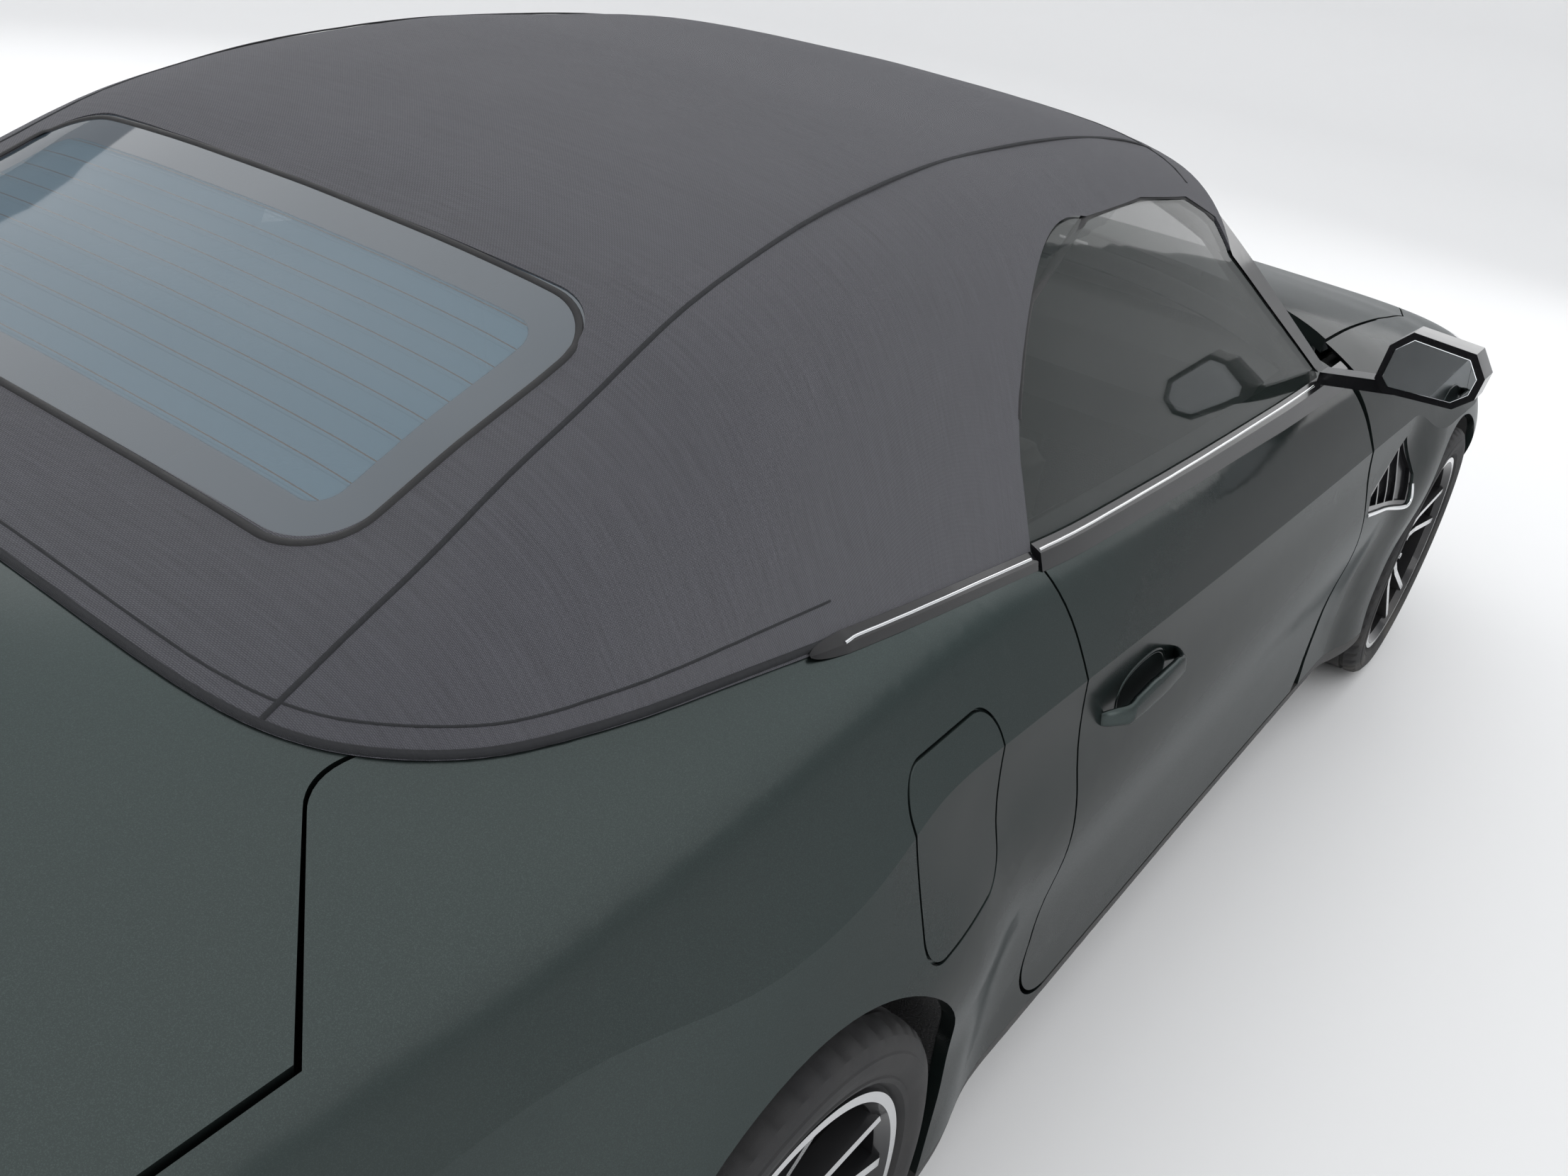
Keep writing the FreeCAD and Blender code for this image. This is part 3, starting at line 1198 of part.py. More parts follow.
def dashboard():
    """The dashboard with its centre console, instrument hood and steering column."""
    board = prism_y([(600, 640), (560, 730), (590, 800), (700, 862), (930, 880), (BULKHEAD - SEAT, 800),
                     (BULKHEAD - SEAT, 640)], -630, 630).cut(screen_slab(-80, size("pillar") + GAP))
    console = prism_y([(-260, 330 + SEAT), (BULKHEAD - SEAT, 330 + SEAT), (BULKHEAD - SEAT, 700), (610, 700),
                       (520, 520), (-180, 480), (-260, 440)], -104, 104)
    hood = prism_y([(560, 800), (700, 855), (700, 905), (560, 890)], SEAT_Y - 170, SEAT_Y + 170)
    start = wheel_centre() - column_line() * 36.3
    column = cylinder(34, start - column_line() * 190, start)
    return largest(fused([board, console, hood, column]))


def column_line():
    """The steering column's direction, towards the driver."""
    line = Vector(-0.927, 0, 0.375)
    line.normalize()
    return line


def wheel_centre():
    """The centre of the steering wheel."""
    return Vector(380, SEAT_Y, 832)


def steering_wheel():
    """The steering wheel with three spokes."""
    ring = Part.makeTorus(178, 15)
    hub = Part.makeCylinder(58, 36, Vector(0, 0, -36))
    spokes = [Part.makeBox(178, 36, 14, Vector(0, -18, -20)).rotated(Vector(0, 0, 0), UP, a)
              for a in (0, 180, 270)]
    wheel = fused([ring, hub] + spokes)
    turn = Rotation(UP, column_line()).multiply(Rotation(UP, 90))
    wheel.Placement = Placement(wheel_centre(), turn)
    return wheel


def wipers():
    """Both wipers, parked at the foot of the windscreen."""
    made = []
    for u0, u1 in ((0.62, 0.05), (0.02, -0.55)):
        lift = Vector(SCREEN_NORMAL) * 14
        a, b = screen_point(u0, 0.02) + lift, screen_point(u1, 0.06) + lift
        blade = cylinder(6, a, b)
        foot = cylinder(9, screen_point(u0, 0.02) + Vector(SCREEN_NORMAL) * 0.5, a + Vector(SCREEN_NORMAL) * 4)
        made.append(largest(fused([blade, foot]).cut(screen_slab(0, 60))))
    return Part.makeCompound(made)


def cabin_mirror():
    """The inside mirror on its stalk."""
    head = screen_point(0, 0.8)
    x, z = head.x - 40, head.z - 62
    face = [(-95, z - 30), (95, z - 30), (118, z, True), (95, z + 30), (-95, z + 30), (-118, z, True)]
    shell = prism_x(face, x - 12, x + 12)
    stalk = cylinder(9, (x, 0, z), head + Vector(SCREEN_NORMAL) * 10)
    return largest(fused([shell, stalk]).cut(screen_slab(-40, size("glass") + SEAT)))


def show(name, shape):
    """Put a shape into the document under its node's name."""
    node = doc.addObject("Part::Feature", name)
    node.Label = name
    node.Shape = shape
    node.Placement = shape.Placement
    return node


def build():
    """Every sub-part of the car, as objects of the document."""
    made = [show(f.__name__, f()) for f in (
        floor_pan, front_structure, rear_structure, bonnet, front_wings, side_vents, front_bumper, grille, headlamps, rear_bumper, tonneau_lid,
        boot_lid, boot_lamps, tail_lamps, sill_covers, fuel_flap, windscreen, screen_frame, soft_top,
        rear_window, quarter_trims, cowl_panel, arch_liners, front_axle, rear_axle, exhaust, engine,
        front_seats, rear_seat, dashboard, steering_wheel, wipers, cabin_mirror)]
    quarter = quarter_panels()
    made.append(show("quarter_panels", Part.makeCompound([quarter, right_quarter(quarter)])))
    for f in (door, door_glass, door_trim, knuckle):
        left = f()
        made += [show(f.__name__ + "_left", left), show(f.__name__ + "_right", mirrored(left))]
    wheel, rubber = rim(), tyre()
    for name, front, side in WHEELS:
        made += [show("wheel_" + name, placed(wheel, front, side)), show("tyre_" + name, placed(rubber, front, side))]
    return made


nodes = build()
doc.recompute()
for item in doc.Objects:
    if any(flag in item.State for flag in ("Invalid", "Error")):
        raise RuntimeError(f"{item.Label} failed: {item.State}")
for node in nodes:
    if node.Shape.isNull() or not node.Shape.isValid():
        raise RuntimeError(f"{node.Label} has no valid shape")
os.makedirs("parts", exist_ok=True)
for node in nodes:
    node.Shape.exportStep(os.path.join("parts", node.Label + ".step"))
    print(node.Label, len(node.Shape.Solids), round(node.Shape.Volume / 1e6, 3))
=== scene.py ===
"""Looks of a two-door convertible car with its fabric roof up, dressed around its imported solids.

Frame: +X to the nose, +Y to the car's left, +Z up, origin on the ground. Lengths are metres.
"""
import json
import logging
import math
from dataclasses import dataclass, field
from enum import Enum

import bmesh
import bpy
from mathutils import Matrix, Vector
from mathutils.bvhtree import BVHTree

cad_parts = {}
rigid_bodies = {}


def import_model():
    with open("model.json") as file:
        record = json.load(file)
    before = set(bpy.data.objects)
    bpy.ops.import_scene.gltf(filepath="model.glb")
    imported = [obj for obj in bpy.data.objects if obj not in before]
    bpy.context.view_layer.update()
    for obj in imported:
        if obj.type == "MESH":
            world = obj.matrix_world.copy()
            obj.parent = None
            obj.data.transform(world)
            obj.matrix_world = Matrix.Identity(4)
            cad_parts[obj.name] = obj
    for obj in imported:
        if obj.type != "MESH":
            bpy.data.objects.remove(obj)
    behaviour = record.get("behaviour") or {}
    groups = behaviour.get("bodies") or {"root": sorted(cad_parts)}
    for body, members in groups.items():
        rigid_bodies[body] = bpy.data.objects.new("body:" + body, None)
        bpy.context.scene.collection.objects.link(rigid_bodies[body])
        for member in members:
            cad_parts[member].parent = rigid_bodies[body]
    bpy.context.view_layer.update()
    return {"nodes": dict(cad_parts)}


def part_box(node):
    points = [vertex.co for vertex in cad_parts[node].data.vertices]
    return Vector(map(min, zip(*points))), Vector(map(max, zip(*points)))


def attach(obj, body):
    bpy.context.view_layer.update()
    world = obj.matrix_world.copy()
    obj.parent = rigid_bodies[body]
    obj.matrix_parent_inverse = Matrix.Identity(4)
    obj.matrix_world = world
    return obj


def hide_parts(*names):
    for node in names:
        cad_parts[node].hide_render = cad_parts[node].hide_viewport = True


LOG = logging.getLogger("convertible")
Colour = tuple[float, float, float]
Socket = bpy.types.NodeSocket
Number = Socket | float
Outline = list[tuple[float, float]]
Place = tuple[float, float, float]
Touch = tuple[Vector, Vector]
WHEEL_HEIGHT = 0.338
WHEEL_OUT = 0.805


def scaled(colour: Colour, factor: float) -> Colour:
    """A colour made lighter or darker."""
    return tuple(channel * factor for channel in colour)


class Side(Enum):
    """A side of the car, with the sign of its Y."""

    LEFT = 1
    RIGHT = -1

    @property
    def word(self) -> str:
        """The side's name in lower case, as the doors' bodies spell it."""
        return self.name.lower()


class Corner(Enum):
    """A wheel's corner: the X of its axle and its side."""

    FRONT_LEFT = (1.542, 1)
    FRONT_RIGHT = (1.542, -1)
    REAR_LEFT = (-1.315, 1)
    REAR_RIGHT = (-1.315, -1)

    @property
    def word(self) -> str:
        """The corner's name in lower case, as the wheels' bodies spell it."""
        return self.name.lower()


# Node trees

class Graph:
    """A node tree that is being made, with short calls for the nodes it takes."""

    def __init__(self, tree: bpy.types.NodeTree) -> None:
        """Start on an empty tree.

        Args:
            tree: the tree of a material or of a node group.
        """
        self.tree = tree
        tree.nodes.clear()

    def add(self, kind: str, **settings: object) -> bpy.types.Node:
        """Add a node.

        Args:
            kind: the node's type name.
            settings: attributes to set on it.

        Returns:
            The new node.
        """
        node = self.tree.nodes.new(kind)
        for key, value in settings.items():
            setattr(node, key, value)
        return node

    def feed(self, target: Socket, source: Socket | float | tuple) -> None:
        """Link a socket to an input, or set a plain value on it.

        Args:
            target: the input.
            source: the socket or value that goes into it.
        """
        if isinstance(source, bpy.types.NodeSocket):
            self.tree.links.new(source, target)
        else:
            target.default_value = source

    def math(self, operation: str, *values: Socket | float) -> Socket:
        """Combine numbers.

        Args:
            operation: the Math node's operation.
            values: one to three sockets or numbers.

        Returns:
            The result's socket.
        """
        node = self.add("ShaderNodeMath", operation=operation)
        for target, value in zip(node.inputs, values):
            self.feed(target, value)
        return node.outputs[0]

    def times(self, *values: Number) -> Socket:
        """Multiply numbers.

        Args:
            values: two or more sockets or numbers.

        Returns:
            The product's socket.
        """
        product = values[0]
        for value in values[1:]:
            product = self.math("MULTIPLY", product, value)
        return product

    def line(self, value: Number, slope: float, start: float) -> Socket:
        """A value times a slope, plus a start."""
        return self.math("MULTIPLY_ADD", value, slope, start)

    def length(self, first: Socket, second: Socket) -> Socket:
        """The length of a pair of distances at right angles."""
        return self.math("SQRT", self.math("ADD", self.times(first, first), self.times(second, second)))

    def near(self, value: Socket, place: float, reach: float) -> Socket:
        """1 where a value is within a reach of a place, and 0 elsewhere."""
        away = self.math("ABSOLUTE", self.math("SUBTRACT", value, place))
        return self.math("LESS_THAN", away, reach)

    def wave(self, value: Number, turn: float) -> Socket:
        """The sine of a value times a turn."""
        return self.math("SINE", self.times(value, turn))

    def ramp(self, value: Socket, low: float, high: float) -> Socket:
        """Turn a value into a smooth share.

        Args:
            value: the value.
            low: where the share is 0.
            high: where it is 1.

        Returns:
            The share's socket.
        """
        node = self.add("ShaderNodeMapRange", interpolation_type="SMOOTHSTEP")
        self.feed(node.inputs["Value"], value)
        self.feed(node.inputs["From Min"], low)
        self.feed(node.inputs["From Max"], high)
        return node.outputs["Result"]

    def blend(self, share: Number, first: Socket | Colour, second: Socket | Colour) -> Socket:
        """Mix two colours.

        Args:
            share: the second colour's share.
            first: the first colour.
            second: the second colour.

        Returns:
            The mixed colour's socket.
        """
        node = self.add("ShaderNodeMix", data_type="RGBA")
        self.feed(node.inputs["Factor"], share)
        colours = [s for s in node.inputs if s.type == "RGBA"]
        for target, value in zip(colours, (first, second)):
            self.feed(target, value if isinstance(value, bpy.types.NodeSocket) else (*value, 1.0))
        return next(s for s in node.outputs if s.type == "RGBA")

    def level(self, share: Number, first: Number, second: Number) -> Socket:
        """Mix two numbers.

        Args:
            share: the second number's share.
            first: the first number.
            second: the second number.

        Returns:
            The mixed number's socket.
        """
        node = self.add("ShaderNodeMix", data_type="FLOAT")
        self.feed(node.inputs[0], share)
        self.feed(node.inputs[2], first)
        self.feed(node.inputs[3], second)
        return node.outputs[0]

    def noise(self, at: Socket, scale: float, detail: float = 3.0) -> Socket:
        """A soft noise between 0 and 1.

        Args:
            at: the coordinates.
            scale: how many patches go to a metre.
            detail: how many finer layers it has.

        Returns:
            The noise's socket.
        """
        node = self.add("ShaderNodeTexNoise")
        self.feed(node.inputs["Vector"], at)
        self.feed(node.inputs["Scale"], scale)
        self.feed(node.inputs["Detail"], detail)
        return node.outputs["Fac"]

    def parts(self, vector: Socket) -> list[Socket]:
        """Split a vector.

        Args:
            vector: the vector's socket.

        Returns:
            Its X, Y and Z.
        """
        node = self.add("ShaderNodeSeparateXYZ")
        self.feed(node.inputs[0], vector)
        return list(node.outputs)

    def use(self, group: bpy.types.NodeTree, **values: Socket | float) -> bpy.types.Node:
        """Place a node group and feed its inputs.

        Args:
            group: the group's tree.
            values: what goes into each input, by the input's name.

        Returns:
            The group's node.
        """
        node = self.add("ShaderNodeGroup", node_tree=group)
        for name, value in values.items():
            self.feed(node.inputs[name], value)
        return node


class Effects:
    """The effects that several materials share, each a node group made once."""

    def __init__(self) -> None:
        """Start with no group made."""
        self.made: dict[str, bpy.types.NodeTree] = {}

    def start(self, name: str, inputs: dict[str, float],
              outputs: list[str]) -> tuple[Graph, bpy.types.Node, bpy.types.Node]:
        """Open a group with a vector input, number inputs and number outputs.

        Args:
            name: the group's name.
            inputs: the number inputs with their defaults.
            outputs: the names of the number outputs.

        Returns:
            The graph, the node that starts the group and the node that ends it.
        """
        tree = bpy.data.node_groups.new(name, "ShaderNodeTree")
        tree.interface.new_socket("Vector", in_out="INPUT", socket_type="NodeSocketVector")
        for key, value in inputs.items():
            socket = tree.interface.new_socket(key, in_out="INPUT", socket_type="NodeSocketFloat")
            socket.default_value = value
        for key in outputs:
            tree.interface.new_socket(key, in_out="OUTPUT", socket_type="NodeSocketFloat")
        graph = Graph(tree)
        entry = graph.add("NodeGroupInput")
        end = graph.add("NodeGroupOutput")
        self.made[name] = tree
        return graph, entry, end

    def grain(self) -> bpy.types.NodeTree:
        """Pebbled grain of moulded plastic or leather.

        Returns:
            The group, which puts out the grain's height and a mask of its valleys.
        """
        if "grain" in self.made:
            return self.made["grain"]
        graph, entry, end = self.start("grain", {"Scale": 600.0}, ["Height", "Valley"])
        cells = graph.add("ShaderNodeTexVoronoi", feature="DISTANCE_TO_EDGE")
        graph.feed(cells.inputs["Vector"], entry.outputs["Vector"])
        graph.feed(cells.inputs["Scale"], entry.outputs["Scale"])
        body = graph.ramp(cells.outputs["Distance"], 0.0, 0.28)
        soft = graph.noise(entry.outputs["Vector"], 900.0, 2.0)
        graph.feed(end.inputs["Height"], graph.line(soft, 0.25, body))
        graph.feed(end.inputs["Valley"], graph.math("SUBTRACT", 1.0, body))
        return self.made["grain"]

    def weave(self) -> bpy.types.NodeTree:
        """Cloth of crossing threads with heavier ribs across the car.

        Returns:
            The group, which puts out the weave's height and its threads' shade.
        """
        if "weave" in self.made:
            return self.made["weave"]
        graph, entry, end = self.start("weave", {"Pitch": 0.0022}, ["Height", "Shade"])
        x, y, z = graph.parts(entry.outputs["Vector"])
        pitch = entry.outputs["Pitch"]
        warp = graph.wave(graph.math("DIVIDE", x, pitch), 2 * math.pi)
        weft_run = graph.math("DIVIDE", graph.math("ADD", y, z), graph.times(pitch, 1.4))
        weft = graph.wave(weft_run, 2 * math.pi)
        both = graph.line(graph.times(warp, weft), 0.35, graph.math("ABSOLUTE", warp))
        fuzz = graph.noise(entry.outputs["Vector"], 1400.0, 2.0)
        graph.feed(end.inputs["Height"], graph.line(fuzz, 0.3, both))
        slub = graph.add("ShaderNodeTexNoise")
        stretch = graph.add("ShaderNodeMapping")
        graph.feed(stretch.inputs["Vector"], entry.outputs["Vector"])
        stretch.inputs["Scale"].default_value = (380.0, 14.0, 14.0)
        graph.feed(slub.inputs["Vector"], stretch.outputs[0])
        graph.feed(slub.inputs["Scale"], 1.0)
        graph.feed(end.inputs["Shade"], graph.line(slub.outputs["Fac"], 0.6, graph.times(both, 0.4)))
        return self.made["weave"]

    def dust(self) -> bpy.types.NodeTree:
        """A thin film of dust, thicker low down and in soft patches.

        Returns:
            The group, which puts out the dust's mask.
        """
        if "dust" in self.made:
            return self.made["dust"]
        graph, entry, end = self.start("dust", {"Amount": 0.2, "Top": 0.45}, ["Mask"])
        height = graph.parts(entry.outputs["Vector"])[2]
        low = graph.math("SUBTRACT", 1.0, graph.math("DIVIDE", height, entry.outputs["Top"]))
        low = graph.math("MAXIMUM", low, 0.12)
        patch = graph.ramp(graph.noise(entry.outputs["Vector"], 9.0, 5.0), 0.35, 0.75)
        fine = graph.noise(entry.outputs["Vector"], 240.0, 2.0)
        mask = graph.times(low, patch, graph.line(fine, 0.6, 0.5), entry.outputs["Amount"])
        graph.feed(end.inputs["Mask"], mask)
        return self.made["dust"]

    def flake(self) -> bpy.types.NodeTree:
        """Metal flakes under lacquer.

        Returns:
            The group, which puts out each flake's brightness and the lacquer's faint ripple.
        """
        if "flake" in self.made:
            return self.made["flake"]
        graph, entry, end = self.start("flake", {"Scale": 1800.0}, ["Glint", "Ripple"])
        cells = graph.add("ShaderNodeTexVoronoi", feature="F1")
        graph.feed(cells.inputs["Vector"], entry.outputs["Vector"])
        graph.feed(cells.inputs["Scale"], entry.outputs["Scale"])
        red = graph.add("ShaderNodeSeparateColor")
        graph.feed(red.inputs[0], cells.outputs["Color"])
        graph.feed(end.inputs["Glint"], red.outputs[0])
        graph.feed(end.inputs["Ripple"], graph.noise(entry.outputs["Vector"], 320.0, 1.0))
        return self.made["flake"]


EFFECTS = Effects()


# Finishes

@dataclass
class Coat:
    """What a finish feeds into its shader: sockets or plain values."""

    colour: Socket | Colour
    roughness: Socket | float
    metallic: Socket | float = 0.0
    height: Socket | None = None
    depth: float = 0.0005
    glow: Socket | None = None
    alpha: Socket | None = None


@dataclass(frozen=True)
class Finish:
    """A plain moulded or coated finish with fine grain, slight unevenness and a film of dust."""

    name: str
    colour: Colour
    roughness: float = 0.5
    metallic: float = 0.0
    grain: float = 0.0
    grain_scale: float = 700.0
    dust: float = 0.15
    coat: float = 0.0
    coat_roughness: float = 0.03
    sheen: float = 0.0
    glow: float = 0.0

    def layers(self, graph: Graph, at: Socket) -> Coat:
        """Make the nodes of this finish.

        Args:
            graph: the material's node tree.
            at: the object's own coordinates.

        Returns:
            What feeds the shader.
        """
        uneven = graph.noise(at, 22.0, 4.0)
        pale = tuple(channel * 1.35 + 0.004 for channel in self.colour)
        colour = graph.blend(graph.times(uneven, 0.35), self.colour, pale)
        rough = graph.line(uneven, 0.10, self.roughness - 0.05)
        height = None
        if self.grain:
            texture = graph.use(EFFECTS.grain(), Vector=at, Scale=self.grain_scale)
            height = texture.outputs["Height"]
            shade = graph.times(texture.outputs["Valley"], 0.35)
            colour = graph.blend(shade, colour, scaled(self.colour, 0.55))
        return Coat(colour, rough, self.metallic, height, self.grain)

    def material(self) -> bpy.types.Material:
        """Make the Blender material of this finish, or find it if it is made.

        Returns:
            The material.
        """
        label = f"{self.name}_finish"
        known = bpy.data.materials.get(label)
        if known is not None:
            return known
        material = bpy.data.materials.new(label)
        material.use_nodes = True
        graph = Graph(material.node_tree)
        at = graph.add("ShaderNodeTexCoord").outputs["Object"]
        made = self.layers(graph, at)
        if self.dust:
            mask = graph.use(EFFECTS.dust(), Vector=at, Amount=self.dust).outputs["Mask"]
            made.colour = graph.blend(mask, made.colour, (0.22, 0.20, 0.17))
            made.roughness = graph.level(mask, made.roughness, 0.85)
        shader = graph.add("ShaderNodeBsdfPrincipled")
        plain = not isinstance(made.colour, bpy.types.NodeSocket)
        graph.feed(shader.inputs["Base Color"], (*made.colour, 1.0) if plain else made.colour)
        graph.feed(shader.inputs["Roughness"], made.roughness)
        graph.feed(shader.inputs["Metallic"], made.metallic)
        shader.inputs["Coat Weight"].default_value = self.coat
        shader.inputs["Coat Roughness"].default_value = self.coat_roughness
        shader.inputs["Sheen Weight"].default_value = self.sheen
        if made.height is not None:
            bump = graph.add("ShaderNodeBump")
            bump.inputs["Strength"].default_value = 1.0
            bump.inputs["Distance"].default_value = made.depth
            graph.feed(bump.inputs["Height"], made.height)
            graph.feed(shader.inputs["Normal"], bump.outputs[0])
        if made.glow is not None:
            graph.feed(shader.inputs["Emission Color"], made.glow)
            shader.inputs["Emission Strength"].default_value = self.glow
        if made.alpha is not None:
            graph.feed(shader.inputs["Alpha"], made.alpha)
        self.settle(shader)
        end = graph.add("ShaderNodeOutputMaterial")
        graph.feed(end.inputs["Surface"], shader.outputs[0])
        return material

    def settle(self, shader: bpy.types.Node) -> None:
        """Set the values that only some finishes have on the shader."""


@dataclass(frozen=True)
class MetallicPaint(Finish):
    """Metallic body paint: flakes of uneven brightness under lacquer with a faint ripple."""

    edge: Colour = (0.16, 0.20, 0.21)

    def layers(self, graph: Graph, at: Socket) -> Coat:
        """Make flakes, ripple and a slow change of tone over the panels.

        Args:
            graph: the material's node tree.
            at: the object's own coordinates.

        Returns:
            What feeds the shader.
        """
        flake = graph.use(EFFECTS.flake(), Vector=at)
        glint = graph.ramp(flake.outputs["Glint"], 0.55, 1.0)
        slow = graph.noise(at, 1.6, 2.0)
        colour = graph.blend(graph.times(glint, 0.5), self.colour, scaled(self.colour, 1.7))
        colour = graph.blend(graph.times(slow, 0.3), colour, scaled(self.colour, 0.8))
        rough = graph.line(glint, -0.08, self.roughness)
        return Coat(colour, rough, self.metallic, flake.outputs["Ripple"], 0.00004)

    def settle(self, shader: bpy.types.Node) -> None:
        """Dark paint stays dark where it is seen at a low angle."""
        shader.inputs["Specular Tint"].default_value = (*self.edge, 1.0)


@dataclass(frozen=True)
class BlackLacquer(Finish):
    """Black lacquer whose mirror image is faint, so that it reads as black beside the paint."""

    mirror: float = 0.22

    def settle(self, shader: bpy.types.Node) -> None:
        """Set how strongly the lacquer mirrors."""
        shader.inputs["Specular IOR Level"].default_value = self.mirror


@dataclass(frozen=True)
class RoofCloth(Finish):
    """Woven roof cloth with fine cross ribs."""

    pitch: float = 0.0030

    def layers(self, graph: Graph, at: Socket) -> Coat:
        """Make the weave, its two thread tones and a slow fading.

        Args:
            graph: the material's node tree.
            at: the object's own coordinates.

        Returns:
            What feeds the shader.
        """
        weave = graph.use(EFFECTS.weave(), Vector=at, Pitch=self.pitch)
        fade = graph.noise(at, 3.0, 3.0)
        colour = graph.blend(weave.outputs["Shade"], scaled(self.colour, 0.55), scaled(self.colour, 2.2))
        colour = graph.blend(graph.times(fade, 0.25), colour, scaled(self.colour, 1.3))
        return Coat(colour, self.roughness, 0.0, weave.outputs["Height"], 0.0006)


@dataclass(frozen=True)
class Leather(Finish):
    """Leather with pebbled grain, soft creases and worn, smoother high places."""

    def layers(self, graph: Graph, at: Socket) -> Coat:
        """Make the grain, creases and the polish of use.

        Args:
            graph: the material's node tree.
            at: the object's own coordinates.

        Returns:
            What feeds the shader.
        """
        grain = graph.use(EFFECTS.grain(), Vector=at, Scale=420.0)
        crease = graph.noise(at, 55.0, 5.0)
        valley = graph.times(grain.outputs["Valley"], 0.5)
        colour = graph.blend(valley, self.colour, scaled(self.colour, 0.5))
        colour = graph.blend(graph.times(crease, 0.2), colour, scaled(self.colour, 1.5))
        rough = graph.line(crease, 0.22, self.roughness - 0.1)
        height = graph.line(crease, 0.5, grain.outputs["Height"])
        return Coat(colour, rough, 0.0, height, 0.0002)


@dataclass(frozen=True)
class TintedGlass(Finish):
    """Thin tinted glass."""

    clear: float = 0.9

    def layers(self, graph: Graph, at: Socket) -> Coat:
        """Make a very faint wipe pattern on clear tinted glass.

        Args:
            graph: the material's node tree.
            at: the object's own coordinates.

        Returns:
            What feeds the shader.
        """
        film = graph.noise(at, 14.0, 3.0)
        rough = graph.line(film, 0.02, self.roughness)
        see = graph.level(graph.times(film, 0.2), 1.0 - self.clear, 1.12 - self.clear)
        return Coat(self.colour, rough, 0.0, None, 0.0, None, see)

    def settle(self, shader: bpy.types.Node) -> None:
        """Glass reflects as glass does."""
        shader.inputs["IOR"].default_value = 1.52


@dataclass(frozen=True)
class HeatedGlass(TintedGlass):
    """The rear window: tinted glass with a printed border and fine heating wires."""

    centre: float = -1.318
    half_long: float = 0.173
    half_wide: float = 0.446
    corner: float = 0.07
    border: float = 0.042
    wire_pitch: float = 0.028
    wire_colour: Colour = (0.035, 0.028, 0.022)
    border_colour: Colour = (0.045, 0.062, 0.078)

    def layers(self, graph: Graph, at: Socket) -> Coat:
        """Make the border from the distance to the pane's edge, and the wires across it.

        Args:
            graph: the material's node tree.
            at: the object's own coordinates.

        Returns:
            What feeds the shader.
        """
        x, y = graph.parts(at)[:2]
        from_middle = graph.math("ABSOLUTE", graph.math("SUBTRACT", x, self.centre))
        inner_x = graph.math("SUBTRACT", from_middle, self.half_long - self.corner)
        inner_y = graph.math("SUBTRACT", graph.math("ABSOLUTE", y), self.half_wide - self.corner)
        away = graph.length(graph.math("MAXIMUM", inner_x, 0.0), graph.math("MAXIMUM", inner_y, 0.0))
        flat = graph.math("MINIMUM", graph.math("MAXIMUM", inner_x, inner_y), 0.0)
        edge = graph.math("SUBTRACT", graph.math("ADD", away, flat), self.corner)
        printed = graph.ramp(edge, -self.border - 0.001, -self.border + 0.001)
        wire = graph.near(graph.math("FRACT", graph.math("DIVIDE", x, self.wire_pitch)), 0.5, 0.022)
        colour = graph.blend(wire, self.colour, self.wire_colour)
        colour = graph.blend(printed, colour, self.border_colour)
        solid = graph.math("MAXIMUM", wire, printed)
        see = graph.math("MAXIMUM", graph.times(solid, 0.97), 1.0 - self.clear)
        return Coat(colour, self.roughness, 0.0, None, 0.0, None, see)


@dataclass(frozen=True)
class MachinedAlloy(Finish):
    """A painted dark rim whose outward faces are turned bright, on a steel brake disc."""

    face_out: float = 0.060
    hub: float = 0.060
    disc_out: float = -0.013
    disc_radius: float = 0.192
    bright: tuple[Colour, Colour] = ((0.50, 0.51, 0.52), (0.72, 0.73, 0.74))
    iron: tuple[Colour, Colour] = ((0.26, 0.25, 0.24), (0.40, 0.39, 0.38))

    def layers(self, graph: Graph, at: Socket) -> Coat:
        """Make the bright faces from where a face is and looks, with the tool's fine rings.

        Args:
            graph: the material's node tree.
            at: the object's own coordinates.

        Returns:
            What feeds the shader.
        """
        x, y, z = graph.parts(at)
        rear, front = Corner.REAR_LEFT.value[0], Corner.FRONT_LEFT.value[0]
        axle = graph.level(graph.math("GREATER_THAN", x, 0.0), rear, front)
        radius = graph.length(graph.math("SUBTRACT", x, axle), graph.math("SUBTRACT", z, WHEEL_HEIGHT))
        out = graph.math("SUBTRACT", graph.math("ABSOLUTE", y), WHEEL_OUT)
        normal = graph.add("ShaderNodeTexCoord").outputs["Normal"]
        facing = graph.math("ABSOLUTE", graph.parts(normal)[1])
        outer = graph.ramp(out, self.face_out, self.face_out + 0.006)
        face = graph.times(graph.ramp(facing, 0.90, 0.95), outer,
                           graph.ramp(radius, self.hub, self.hub + 0.004))
        rings = graph.wave(radius, 5200.0)
        bright = graph.blend(graph.line(rings, 0.12, 0.5), *self.bright)
        disc = graph.times(graph.math("LESS_THAN", out, self.disc_out),
                           graph.math("LESS_THAN", radius, self.disc_radius))
        iron = graph.blend(graph.line(rings, 0.2, 0.4), *self.iron)
        colour = graph.blend(disc, graph.blend(face, self.colour, bright), iron)
        shine = graph.math("MAXIMUM", face, disc)
        rough = graph.level(shine, self.roughness, 0.22)
        metal = graph.level(shine, self.metallic, 1.0)
        return Coat(colour, rough, metal, graph.times(rings, shine), 0.00002)


